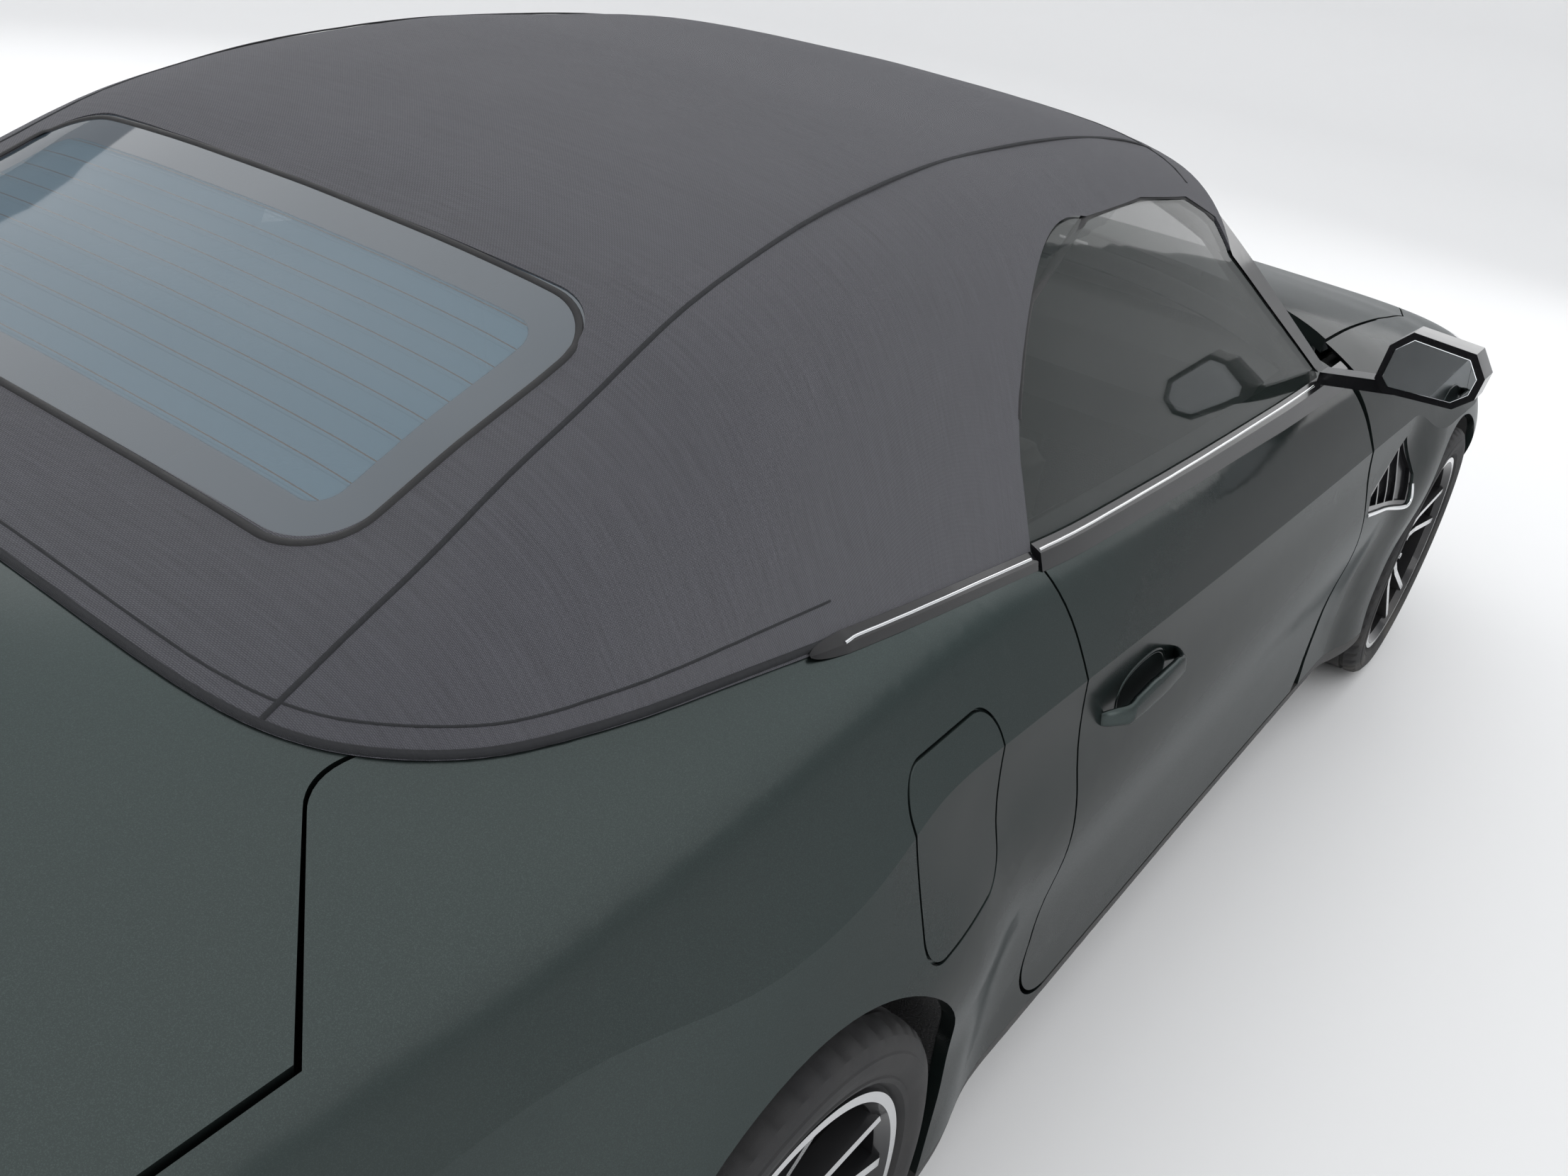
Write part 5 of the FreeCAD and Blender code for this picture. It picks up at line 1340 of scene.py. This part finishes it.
@dataclass
class Cushion:
    """A padded cushion from a side outline, puffed by a cloth simulation, with sewn channels and piping."""

    name: str
    outline: Outline
    y0: float
    y1: float
    body: str = "body"
    channels: list[tuple[Vector, Vector]] = field(default_factory=list)
    voxel: float = 0.008
    cap: float = 0.012
    inset: float = 0.010
    rounding: float = 0.022
    pressure: float = 4.0
    channel: tuple[float, float] = (0.005, 0.006)
    piping: tuple[float, ...] = ()

    def build(self) -> bpy.types.Object:
        """Make the cushion.

        Returns:
            The finished piece.
        """
        piece = self.form()
        self.puff(piece)
        self.sew(piece)
        piece.data.materials.clear()
        piece.data.materials.append(SEAT_LEATHER.material())
        piece.data.shade_smooth()
        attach(piece, self.body)
        self.pipe(piece)
        return piece

    def form(self) -> bpy.types.Object:
        """Make the rounded form that the simulation starts from, a little smaller than the cushion.

        Returns:
            The piece with that form.
        """
        n = len(self.outline)
        pairs = [(self.outline[i - 1], self.outline[i]) for i in range(n)]
        sign = math.copysign(1.0, sum(a[0] * b[1] - b[0] * a[1] for a, b in pairs))
        inner = []
        for i in range(n):
            a, b, c = (Vector(self.outline[k]) for k in (i - 1, i, (i + 1) % n))
            first, second = (b - a).normalized(), (c - b).normalized()
            way = Vector((-first.y - second.y, first.x + second.x))
            inner.append(b + way.normalized() * self.inset * sign)
        low, high = self.y0 + self.inset, self.y1 - self.inset
        points = [Vector((p.x, low, p.y)) for p in inner] + [Vector((p.x, high, p.y)) for p in inner]
        faces = [tuple(range(n)), tuple(range(2 * n - 1, n - 1, -1))]
        faces += [(i, (i + 1) % n, n + (i + 1) % n, n + i) for i in range(n)]
        mesh = bpy.data.meshes.new(self.name)
        mesh.from_pydata(points, [], faces)
        work = bmesh.new()
        work.from_mesh(mesh)
        bmesh.ops.recalc_face_normals(work, faces=work.faces)
        bmesh.ops.bevel(work, geom=work.edges[:], offset=self.rounding, segments=3, affect="EDGES",
                        clamp_overlap=True)
        work.to_mesh(mesh)
        work.free()
        piece = bpy.data.objects.new(self.name, mesh)
        bpy.context.scene.collection.objects.link(piece)
        remesh = piece.modifiers.new("remesh", "REMESH")
        remesh.mode = "VOXEL"
        remesh.voxel_size = self.voxel * 1
        self.apply(piece)
        return piece

    def apply(self, piece: bpy.types.Object) -> None:
        """Turn a piece's modifiers into its mesh.

        Args:
            piece: the piece.
        """
        graph = bpy.context.evaluated_depsgraph_get()
        mesh = bpy.data.meshes.new_from_object(piece.evaluated_get(graph))
        piece.modifiers.clear()
        piece.data = mesh

    def puff(self, piece: bpy.types.Object) -> None:
        """Blow the form up as cloth and hold each point near its start.

        Args:
            piece: the piece.
        """
        start = [v.co.copy() for v in piece.data.vertices]
        cloth = piece.modifiers.new("cloth", "CLOTH")
        cloth.settings.use_pressure = True
        cloth.settings.uniform_pressure_force = self.pressure
        cloth.settings.quality = 4
        cloth.settings.effector_weights.gravity = 0.0
        for number in range(1, 21):
            bpy.context.scene.frame_set(number)
        self.apply(piece)
        bpy.context.scene.frame_set(1)
        for vert, old in zip(piece.data.vertices, start):
            move = vert.co - old
            if move.length > self.cap:
                vert.co = old + move * (self.cap / move.length)
        finer = piece.modifiers.new("finer", "SUBSURF")
        finer.levels = 1
        self.apply(piece)

    def sew(self, piece: bpy.types.Object) -> None:
        """Draw the cover in along its sewn channels.

        Args:
            piece: the piece.
        """
        depth, width = self.channel
        normals = [v.normal.copy() for v in piece.data.vertices]
        for vert, normal in zip(piece.data.vertices, normals):
            dip = 0.0
            for place, way in self.channels:
                away = (vert.co - place).dot(way)
                if normal.dot(way) ** 2 < 0.5:
                    dip = max(dip, math.exp(-(away / width) ** 2))
            vert.co -= normal * depth * dip

    def pipe(self, piece: bpy.types.Object) -> None:
        """Run piping round the cushion where its side panels are sewn on.

        Args:
            piece: the piece.
        """
        lines = []
        for y in self.piping:
            work = bmesh.new()
            work.from_mesh(piece.data)
            everything = work.verts[:] + work.edges[:] + work.faces[:]
            found = bmesh.ops.bisect_plane(work, geom=everything, dist=1e-6, plane_co=(0, y, 0),
                                           plane_no=(0, 1, 0))
            ring = [v.co.copy() for v in found["geom_cut"] if isinstance(v, bmesh.types.BMVert)]
            work.free()
            cx = sum((p.x for p in ring), 0.0) / max(1, len(ring))
            cz = sum((p.z for p in ring), 0.0) / max(1, len(ring))
            ring.sort(key=lambda p: math.atan2(p.z - cz, p.x - cx))
            ring = ring[::3]
            lines.append([(p, Vector((p.x - cx, 0, p.z - cz)).normalized()) for p in ring])
        if lines:
            swept(self.name + "_piping", lines, 0.0026, STITCH, self.body, 1.0, closed=True)


@dataclass
class Seats:
    """The front seats and the rear bench."""

    front_y: float = 0.37
    half: float = 0.234

    def build(self) -> None:
        """Make every cushion of the cabin."""
        for side in Side:
            self.front(side)
            self.rear(side)

    def front(self, side: Side) -> None:
        """One front seat: base, back with channels, head restraint and rails.

        Args:
            side: the side of the car it stands on.
        """
        mid = side.value * self.front_y
        low, high = mid - self.half, mid + self.half
        base = [(-0.24, 0.275), (0.33, 0.262), (0.368, 0.335), (0.362, 0.436), (0.06, 0.449),
                (-0.12, 0.452), (-0.25, 0.43)]
        back = [(-0.27, 0.43), (-0.075, 0.468), (-0.198, 0.86), (-0.212, 0.955), (-0.325, 0.955),
                (-0.345, 0.86)]
        head = [(-0.222, 0.972), (-0.240, 1.088), (-0.312, 1.098), (-0.324, 0.972)]
        across = Vector((1, 0, 0.0))
        rise = Vector((-0.3, 0, 0.954))
        lines = [(Vector((x, 0, 0.44)), across) for x in (-0.02, 0.10, 0.22)]
        rows = [(Vector((-0.075 - (z - 0.468) * 0.31, 0, z)), rise) for z in (0.56, 0.65, 0.74, 0.83)]
        word = side.word
        seat = Cushion(f"front_seat_base_{word}", base, low, high, channels=lines,
                       piping=(mid - 0.16, mid + 0.16)).build()
        Cushion(f"front_seat_back_{word}", back, low, high, channels=rows,
                piping=(mid - 0.15, mid + 0.15)).build()
        Cushion(f"front_head_rest_{word}", head, mid - 0.118, mid + 0.118, cap=0.008,
                piping=(mid - 0.08, mid + 0.08)).build()
        rails = []
        for y in (mid - 0.19, mid + 0.19):
            rails.append(tube([Vector((-0.22, y, 0.215)), Vector((0.30, y, 0.215))], 0.016, 10))
            for x in (-0.19, 0.27):
                rails.append(tube([Vector((x, y, 0.182)), Vector((x, y, 0.285))], 0.012, 8))
        for y in (mid - 0.05, mid + 0.05):
            rails.append(tube([Vector((-0.268, y, 0.93)), Vector((-0.270, y, 1.0))], 0.006, 10))
        points, faces = joined(rails)
        mesh_piece(f"front_seat_rails_{word}", points, faces, SATIN, "body")
        if side is Side.LEFT:
            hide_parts("front_seats")

    def rear(self, side: Side) -> None:
        """One half of the rear bench.

        Args:
            side: the side of the car it is on.
        """
        low, high = sorted((side.value * 0.012, side.value * 0.552))
        base = [(-0.90, 0.342), (-0.572, 0.342), (-0.553, 0.385), (-0.572, 0.428), (-0.86, 0.415)]
        back = [(-1.04, 0.40), (-0.90, 0.405), (-0.962, 0.80), (-1.0, 0.868), (-1.042, 0.876)]
        mid = (low + high) / 2
        rise = Vector((-0.15, 0, 0.989))
        rows = [(Vector((-0.93, 0, z)), rise) for z in (0.52, 0.62, 0.72)]
        lines = [(Vector((x, 0, 0.42)), Vector((1, 0, 0))) for x in (-0.78, -0.68)]
        seat = Cushion(f"rear_seat_base_{side.word}", base, low, high, channels=lines,
                       piping=(mid - 0.19, mid + 0.19)).build()
        Cushion(f"rear_seat_back_{side.word}", back, low, high, channels=rows,
                piping=(mid - 0.19, mid + 0.19)).build()
        if side is Side.LEFT:
            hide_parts("rear_seat")


# Wheels

@dataclass
class Wheel:
    """One wheel's tyre with its tread, and the bolts and cap on its hub."""

    corner: Corner
    radius: float = 0.3375
    seat: float = 0.2545
    half: float = 0.1320
    steps: int = 216
    groove: float = 0.0045
    groove_depth: float = 0.007
    grooves: tuple[float, ...] = (0.088, 0.035, -0.035, -0.088)
    bolts: int = 5
    bolt_circle: float = 0.045
    bolt_face: float = 0.0885
    cap_face: float = 0.0920

    def build(self) -> None:
        """Make the tyre and the hub's fittings."""
        x, side = self.corner.value
        self.centre = Vector((x, side * WHEEL_OUT, WHEEL_HEIGHT))
        self.out = Vector((0, side, 0))
        self.tyre()
        self.fittings()

    def tyre(self) -> None:
        """Turn the tyre: beads, ribbed sidewalls, shoulder blocks and a tread with four grooves."""
        r, h, s = self.radius, self.half, self.seat
        wall = [(h - 0.019, s), (h - 0.017, s + 0.012), (h - 0.006, s + 0.020), (h - 0.004, s + 0.026),
                (h - 0.0055, s + 0.028), (h - 0.001, s + 0.040), (h, s + 0.048), (h - 0.001, s + 0.056),
                (h - 0.003, s + 0.058), (h - 0.004, r - 0.020), (h - 0.009, r - 0.010),
                (h - 0.018, r - 0.003), (h - 0.030, r - 0.0005)]
        tread = []
        floor = r - self.groove_depth
        for place in self.grooves:
            tread += [(place + self.groove + 0.0015, r), (place + self.groove, floor),
                      (place - self.groove, floor), (place - self.groove - 0.0015, r)]
        profile = wall + tread + [(-y, q) for y, q in reversed(wall)]
        points, faces = turned(profile, self.steps, self.centre, self.out)
        n = len(profile)
        for k in range(self.steps):
            deep = k % 4 == 0
            for i, (y, q) in enumerate(profile):
                if deep and q > r - 0.004 and abs(y) > 0.094:
                    p = points[k * n + i]
                    away = p - self.centre
                    away -= self.out * away.dot(self.out)
                    points[k * n + i] = p - away.normalized() * 0.005
        name = self.corner.word
        piece = mesh_piece(f"tyre_with_tread_{name}", points, faces, TYRE, f"wheel_{name}",
                           28.0)
        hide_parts(f"tyre_{name}")

    def fittings(self) -> None:
        """Set the bolts in their seats and the blank cap on the hub."""
        head = [(-0.002, 0.0), (-0.002, 0.011), (0.004, 0.011), (0.007, 0.009), (0.011, 0.009),
                (0.0115, 0.0)]
        parts = []
        for k in range(self.bolts):
            a = 2 * math.pi * (k + 0.5) / self.bolts
            way = Vector((math.cos(a), 0, math.sin(a)))
            place = self.centre + way * self.bolt_circle + self.out * self.bolt_face
            parts.append(turned(head, 6, place, self.out, closed=False))
        points, faces = joined(parts)
        name = self.corner.word
        mesh_piece(f"wheel_bolts_{name}", points, faces, CHROME, f"wheel_{name}", 30.0)
        cap = [(0.0, 0.0), (0.0, 0.0295), (0.0035, 0.0295), (0.0055, 0.027), (0.0072, 0.018), (0.0078, 0.0)]
        points, faces = turned(cap, 40, self.centre + self.out * self.cap_face, self.out, closed=False)
        mesh_piece(f"hub_cap_{name}", points, faces, GLOSS, f"wheel_{name}", 50.0)


# Lamps, trims and fittings

@dataclass
class DoorDress:
    """A door's moulding with its mirror, and the pull handle over its shallow dish, whose shade is painted
    on a darker patch.
    """

    nodes: dict[str, bpy.types.Object]
    side: Side
    rear: float = -0.588
    front: float = -0.318
    level: float = 0.738
    stand: float = 0.026
    around: int = 20
    count: int = 40
    dish_half: tuple[float, float] = (0.088, 0.036)
    dish_steps: int = 48
    plain_handle: tuple[float, float] = (0.86, -0.3)

    def build(self) -> None:
        """Make the moulding, the handle and its dish."""
        self.skin = Probe(self.nodes, [f"door_{self.side.word}"])
        self.moulding()
        self.handle()
        self.dish()

    def moulding(self) -> None:
        """Keep the node's moulding and mirror and leave its plain handle out."""
        word = self.side.word
        work = opened(self.nodes[f"door_trim_{word}"])
        top, front = self.plain_handle
        handle = [v for v in work.verts if v.co.z < top and v.co.x < front]
        bmesh.ops.delete(work, geom=handle, context="VERTS")
        piece = recut(f"door_moulding_{word}", work, GLOSS, f"door_{word}", 30.0)
        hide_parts(f"door_trim_{word}")

    def touch(self, x: float, z: float) -> Touch:
        """Find the door's outer surface at a place in side view.

        Args:
            x: the place's X.
            z: its height.

        Returns:
            The point and its normal.
        """
        hit = self.skin.hit((x, self.side.value * 1.4, z), (0, -self.side.value, 0))
        return hit or (Vector((x, self.side.value * 0.85, z)), Vector((0, self.side.value, 0)))

    def handle(self) -> None:
        """Loft the pull: its ends grow out of the door and its middle stands off for the fingers."""
        around, count = self.around, self.count
        rows = []
        for i in range(count + 1):
            t = i / count
            x = self.rear + (self.front - self.rear) * t
            place, normal = self.touch(x, self.level)
            off = self.stand * min(1.0, math.sin(math.pi * t) * 2.4) ** 0.8 - 0.002
            tall = 0.009 + 0.0085 * math.sin(math.pi * t) ** 0.5
            thick = 0.0055 + 0.0035 * math.sin(math.pi * t)
            along = Vector((1, 0, 0))
            rise = normal.cross(along).normalized()
            if rise.z < 0:
                rise = -rise
            centre = place + normal * off
            ring = []
            for k in range(around):
                a = 2 * math.pi * k / around
                c, s = math.cos(a), math.sin(a)
                ring.append(centre + rise * math.copysign(abs(c) ** 0.75, c) * tall
                            + normal * math.copysign(abs(s) ** 0.9, s) * thick)
            rows.append(ring)
        points = [p for ring in rows for p in ring]
        faces = [(i * around + k, i * around + (k + 1) % around, (i + 1) * around + (k + 1) % around,
                  (i + 1) * around + k) for i in range(count) for k in range(around)]
        faces += [tuple(range(around - 1, -1, -1)), tuple(count * around + k for k in range(around))]
        word = self.side.word
        mesh_piece(f"door_handle_{word}", points, faces, PAINT, f"door_{word}", 50.0)

    def dish(self) -> None:
        """Make the finger dish behind the pull, with its lip and a darker patch of painted shade inside it.
        """
        middle = (self.rear + self.front) / 2
        half_long, half_tall = self.dish_half
        n = self.dish_steps
        turns = [2 * math.pi * k / n for k in range(n)]
        line = []
        for a in turns:
            c, s = math.cos(a), math.sin(a)
            x = middle + math.copysign(abs(c) ** 0.8, c) * half_long
            line.append(self.touch(x, self.level + math.copysign(abs(s) ** 0.9, s) * half_tall))
        word = self.side.word
        swept(f"door_dish_lip_{word}", [line], 0.0035, PAINT, f"door_{word}", 0.35, closed=True)
        # The recess is not cut into the door: a thin darker patch over the skin is its painted shade.
        rows = []
        for share in (1.0, 0.75, 0.5, 0.25):
            wide, tall = (half_long - 0.004) * share, (half_tall - 0.002) * share
            rows.append([self.touch(middle + math.cos(a) * wide, self.level + math.sin(a) * tall)
                         for a in turns])
        points = [p + normal * 0.0006 for row in rows for p, normal in row]
        last = (len(rows) - 1) * n
        faces = [(i + k, i + (k + 1) % n, i + n + (k + 1) % n, i + n + k)
                 for i in range(0, last, n) for k in range(n)]
        faces.append(tuple(last + k for k in range(n)))
        mesh_piece(f"door_dish_{word}", points, faces, DISH_SHADE, f"door_{word}", 60.0)


def nose_x(y: float, z: float, inset: float) -> float:
    """Find the nose's X at a place in front view, set in by a depth.

    Args:
        y: the place's Y.
        z: its height.
        inset: the depth.

    Returns:
        The X.
    """
    share = min(1.0, abs(y) / 0.83)
    back = 0.0 if z < 0.5 else 0.006 + (z - 0.545) * 0.13
    return 1.747 + (0.650 - back) * (1 - share ** 2.5) ** 0.4 - inset


@dataclass
class Lamps:
    """What is behind the headlamps' lenses: round units in a row over a light bar."""

    nodes: dict[str, bpy.types.Object]
    row: tuple[tuple[float, float], ...] = ((0.515, 0.026), (0.595, 0.026), (0.672, 0.024))
    unit_level: float = 0.632
    unit_depth: float = 0.046
    bar_level: float = 0.602
    bar_span: tuple[float, float] = (0.455, 0.705)
    bar_depth: float = 0.012
    ahead: float = 2.8

    def build(self) -> None:
        """Make the headlamps' units and light bars."""
        probe = Probe(self.nodes, ["headlamps"])
        forward = Vector((1, 0, 0))
        units = []
        glasses = []
        bars = []
        for side in Side:
            for y, r in self.row:
                hit = probe.hit((self.ahead, side.value * y, self.unit_level), (-1, 0, 0))
                if not hit:
                    continue
                centre = hit[0] - forward * self.unit_depth
                ring = [(-0.004, r * 0.2), (-0.004, r + 0.006), (0.020, r + 0.007), (0.022, r + 0.004),
                        (0.010, r), (0.002, r * 0.6)]
                units.append(turned(ring, 36, centre, forward))
                dome = [(0.004, r * 0.98), (0.010, r * 0.85), (0.015, r * 0.55), (0.017, 0.0)]
                glasses.append(turned(dome, 36, centre, forward, closed=False))
            bars.append(self.bar(probe, side))
        points, faces = joined(units)
        mesh_piece("headlamp_units", points, faces, SILVER, "body")
        points, faces = joined(glasses)
        mesh_piece("headlamp_projectors", points, faces, PROJECTOR, "body")
        swept("daylight_bars", bars, 0.005, LIGHT_BAR, "body", 0.8)

    def bar(self, probe: Probe, side: Side) -> list[Touch]:
        """Find the line of one lamp's light bar, a little behind the lens.

        Args:
            probe: rays against the lenses.
            side: the side of the car.

        Returns:
            The line's points with the lens's normals.
        """
        inner, outer = self.bar_span
        line = []
        for i in range(25):
            y = side.value * (inner + (outer - inner) * i / 24)
            hit = probe.hit((self.ahead, y, self.bar_level), (-1, 0, 0))
            if hit:
                line.append((hit[0] - hit[1] * self.bar_depth, hit[1]))
        return line


@dataclass
class QuarterMoulding:
    """The moulding at the foot of the roof behind each door, which ends in a rounded point."""

    nodes: dict[str, bpy.types.Object]
    taper: float = 0.075
    tip: float = 0.04
    cuts: int = 10

    def build(self) -> None:
        """Copy the node's strips, cut them finer near their rear ends and round those."""
        work = opened(self.nodes["quarter_trims"])
        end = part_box("quarter_trims")[0][0]
        places = [end + self.taper * (i / self.cuts) ** 2 for i in range(self.cuts + 1)]
        for x in places[1:]:
            cut_across(work, 0, x)
        for sign in (-1, 1):
            for x in places[:-1]:
                ring = [v for v in work.verts if abs(v.co.x - x) < 1e-4 and v.co.y * sign > 0]
                round_share = math.sqrt(max(0.0, 1 - (1 - (x - end) / self.taper) ** 2))
                self.draw_in(ring, max(self.tip, round_share))
        piece = recut("quarter_mouldings", work, GLOSS, "body", 30.0)
        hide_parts("quarter_trims")

    def draw_in(self, ring: list[bmesh.types.BMVert], share: float) -> None:
        """Shrink one cross-section about its middle.

        Args:
            ring: the corners of the cross-section.
            share: the share of its size that is kept.
        """
        middle = sum((v.co for v in ring), Vector()) / max(1, len(ring))
        for vert in ring:
            vert.co = middle + (vert.co - middle) * share


@dataclass
class Trims:
    """Small bright and dark parts of the outside."""

    nodes: dict[str, bpy.types.Object]
    belt: float = 0.945
    belt_span: tuple[float, float] = (-0.655, 0.53)
    quarter_span: tuple[float, float] = (-1.075, -0.675)
    belt_drop: float = 0.0045
    mirror_x: float = 0.5495
    mirror_thick: float = 0.0035
    plate_half: float = 0.256
    plate_levels: tuple[float, float] = (0.660, 0.767)
    plate_x: float = -2.3855
    rib_count: int = 31
    rib_half: float = 0.36
    rib_levels: tuple[float, float] = (0.312, 0.588)
    rib_corner: float = 0.318
    pipes: tuple[float, ...] = (-0.505, -0.395, 0.395, 0.505)
    pipe_end: tuple[float, float] = (-2.325, 0.262)
    stop_x: float = -1.952
    stop_half: float = 0.16

    def build(self) -> None:
        """Make the bright lines, the mirrors' glasses, the plate, the grille's ribs and the tail pipes."""
        self.belt_lines()
        self.mirror_glasses()
        self.vent_strips()
        self.plate()
        self.grille_ribs()
        self.pipe_sleeves()
        self.stop_lamp()

    def belt_lines(self) -> None:
        """Lay the thin bright line along the mouldings of the doors and of the quarters behind them."""
        for side in Side:
            runs = [("door", f"door_trim_{side.word}", f"door_{side.word}", self.belt_span),
                    ("quarter", "quarter_trims", "body", self.quarter_span)]
            for place, node, body, (rear, front) in runs:
                probe = Probe(self.nodes, [node])
                places = [rear + (front - rear) * i / 48 for i in range(49)]
                line = [hit for x in places if (hit := self.upper_edge(probe, side, x))]
                if len(line) > 2:
                    swept(f"{place}_belt_line_{side.word}", [line], 0.0022, CHROME, body, 0.6)

    def upper_edge(self, probe: Probe, side: Side, x: float) -> Touch | None:
        """Find a moulding's outer face a little below its upper edge.

        Args:
            probe: rays against the moulding.
            side: the side of the car.
            x: the place along the car.

        Returns:
            The point and its normal, or None.
        """
        inward = (0, -side.value, 0)
        above, below = self.belt + 0.035, self.belt + 0.033
        while below > self.belt - 0.04 and not probe.hit((x, side.value * 1.3, below), inward):
            above, below = below, below - 0.002
        for _ in range(8):
            z = (above + below) / 2
            if probe.hit((x, side.value * 1.3, z), inward):
                below = z
            else:
                above = z
        return probe.hit((x, side.value * 1.3, below - self.belt_drop), inward)

    def mirror_glasses(self) -> None:
        """Set a silvered glass in each door mirror."""
        face = [(0.874, 0.992), (0.890, 0.977), (1.000, 0.983), (1.024, 1.005), (1.028, 1.036),
                (1.006, 1.066), (0.906, 1.072), (0.880, 1.046)]
        for side in Side:
            front = [Vector((self.mirror_x, side.value * y, z)) for y, z in face]
            back = [p + Vector((self.mirror_thick, 0, 0)) for p in front]
            n = len(face)
            faces = [tuple(range(n)), tuple(range(2 * n - 1, n - 1, -1))]
            faces += [(i, (i + 1) % n, n + (i + 1) % n, n + i) for i in range(n)]
            piece = mesh_piece(f"mirror_glass_{side.word}", front + back, faces, MIRROR,
                               f"door_{side.word}", 20.0)
            bevel = piece.modifiers.new("edge", "BEVEL")
            bevel.width = 0.001
            bevel.segments = 2

    def vent_strips(self) -> None:
        """Lay the bright strip along the foot of each side vent."""
        probe = Probe(self.nodes, ["front_wings", "side_vents"])
        lines = []
        for sign in (-1, 1):
            line = []
            for x, z in spline([(0.80, 0.647), (0.96, 0.618), (1.125, 0.590), (1.139, 0.640)], 12):
                hit = probe.hit((x, sign * 1.4, z), (0, -sign, 0))
                if hit:
                    line.append(hit)
            lines.append(line)
        swept("vent_strips", lines, 0.0045, CHROME, "body", 0.6)

    def plate(self) -> None:
        """Set the blank number plate in its recess, with a pressed rim."""
        half, x = self.plate_half, self.plate_x
        low, high = self.plate_levels
        parts = []
        rim = [(-half, low), (half, low), (half, high), (-half, high)]
        ring = [Vector((x - 0.003, y, z)) for y, z in rim]
        parts.append(tube(ring, 0.0022, 8, True))
        sheet_points = [Vector((x - d, y, z)) for d in (0.0, 0.003) for y, z in rim]
        faces = [(0, 1, 2, 3), (7, 6, 5, 4)] + [(i, (i + 1) % 4, 4 + (i + 1) % 4, 4 + i) for i in range(4)]
        parts.append((sheet_points, faces))
        points, faces = joined(parts)
        mesh_piece("blank_number_plate", points, faces, PLATE, "boot_lid", 30.0)

    def grille_ribs(self) -> None:
        """Stand fine upright ribs behind the grille's slats."""
        parts = []
        foot, top = self.rib_levels
        for i in range(self.rib_count):
            y = self.rib_half * (2 * i / (self.rib_count - 1) - 1)
            low = foot + max(0.0, abs(y) - self.rib_corner) * 4.0
            line = [Vector((nose_x(y, z, 0.024), y, z)) for z in (low, (low + top) / 2, top)]
            parts.append(tube(line, 0.003, 6))
        points, faces = joined(parts)
        mesh_piece("grille_ribs", points, faces, SATIN, "body")

    def pipe_sleeves(self) -> None:
        """Push polished sleeves on the four tail pipes."""
        parts = []
        sleeve = [(-0.010, 0.0485), (0.030, 0.0515), (0.034, 0.0500), (0.034, 0.0450), (0.028, 0.0435),
                  (-0.010, 0.0435)]
        x, z = self.pipe_end
        for y in self.pipes:
            parts.append(turned(sleeve, 48, Vector((x, y, z)), Vector((-1, 0, 0))))
        points, faces = joined(parts)
        mesh_piece("tail_pipe_sleeves", points, faces, CHROME, "body", 40.0)

    def stop_lamp(self) -> None:
        """Lay the slim high stop lamp across the rear lid."""
        probe = Probe(self.nodes, ["tonneau_lid"])
        line = []
        for i in range(31):
            hit = probe.down(self.stop_x, self.stop_half * (i / 15 - 1))
            if hit:
                line.append(hit)
        swept("high_stop_lamp", [line], 0.007, STOP_LENS, "body", 0.3)


def slot_table(nodes: dict[str, bpy.types.Object]) -> dict[str, str]:
    """The material slot of each node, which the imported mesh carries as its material's name."""
    return {name: node.data.materials[0].name for name, node in nodes.items()}


def fit_out(nodes: dict[str, bpy.types.Object]) -> None:
    """Build every sub-assembly's pieces in order and report each.

    Args:
        nodes: the CAD nodes by name.
    """
    steps = [FabricRoof(nodes), Seats(), Lamps(nodes), Trims(nodes), QuarterMoulding(nodes)]
    steps += [DoorDress(nodes, side) for side in Side]
    steps += [Wheel(corner) for corner in Corner]
    for step in steps:
        before = set(bpy.data.objects)
        step.build()
        made = sorted(o.name for o in bpy.data.objects if o not in before)
        LOG.info("%s: %s", type(step).__name__, ", ".join(made))


def main() -> None:
    """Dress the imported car."""
    logging.basicConfig(level=logging.INFO, format="%(message)s")
    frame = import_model()
    Studio().build()
    dress_nodes(frame["nodes"], slot_table(frame["nodes"]))
    fit_out(frame["nodes"])


if __name__ == "__main__":
    main()
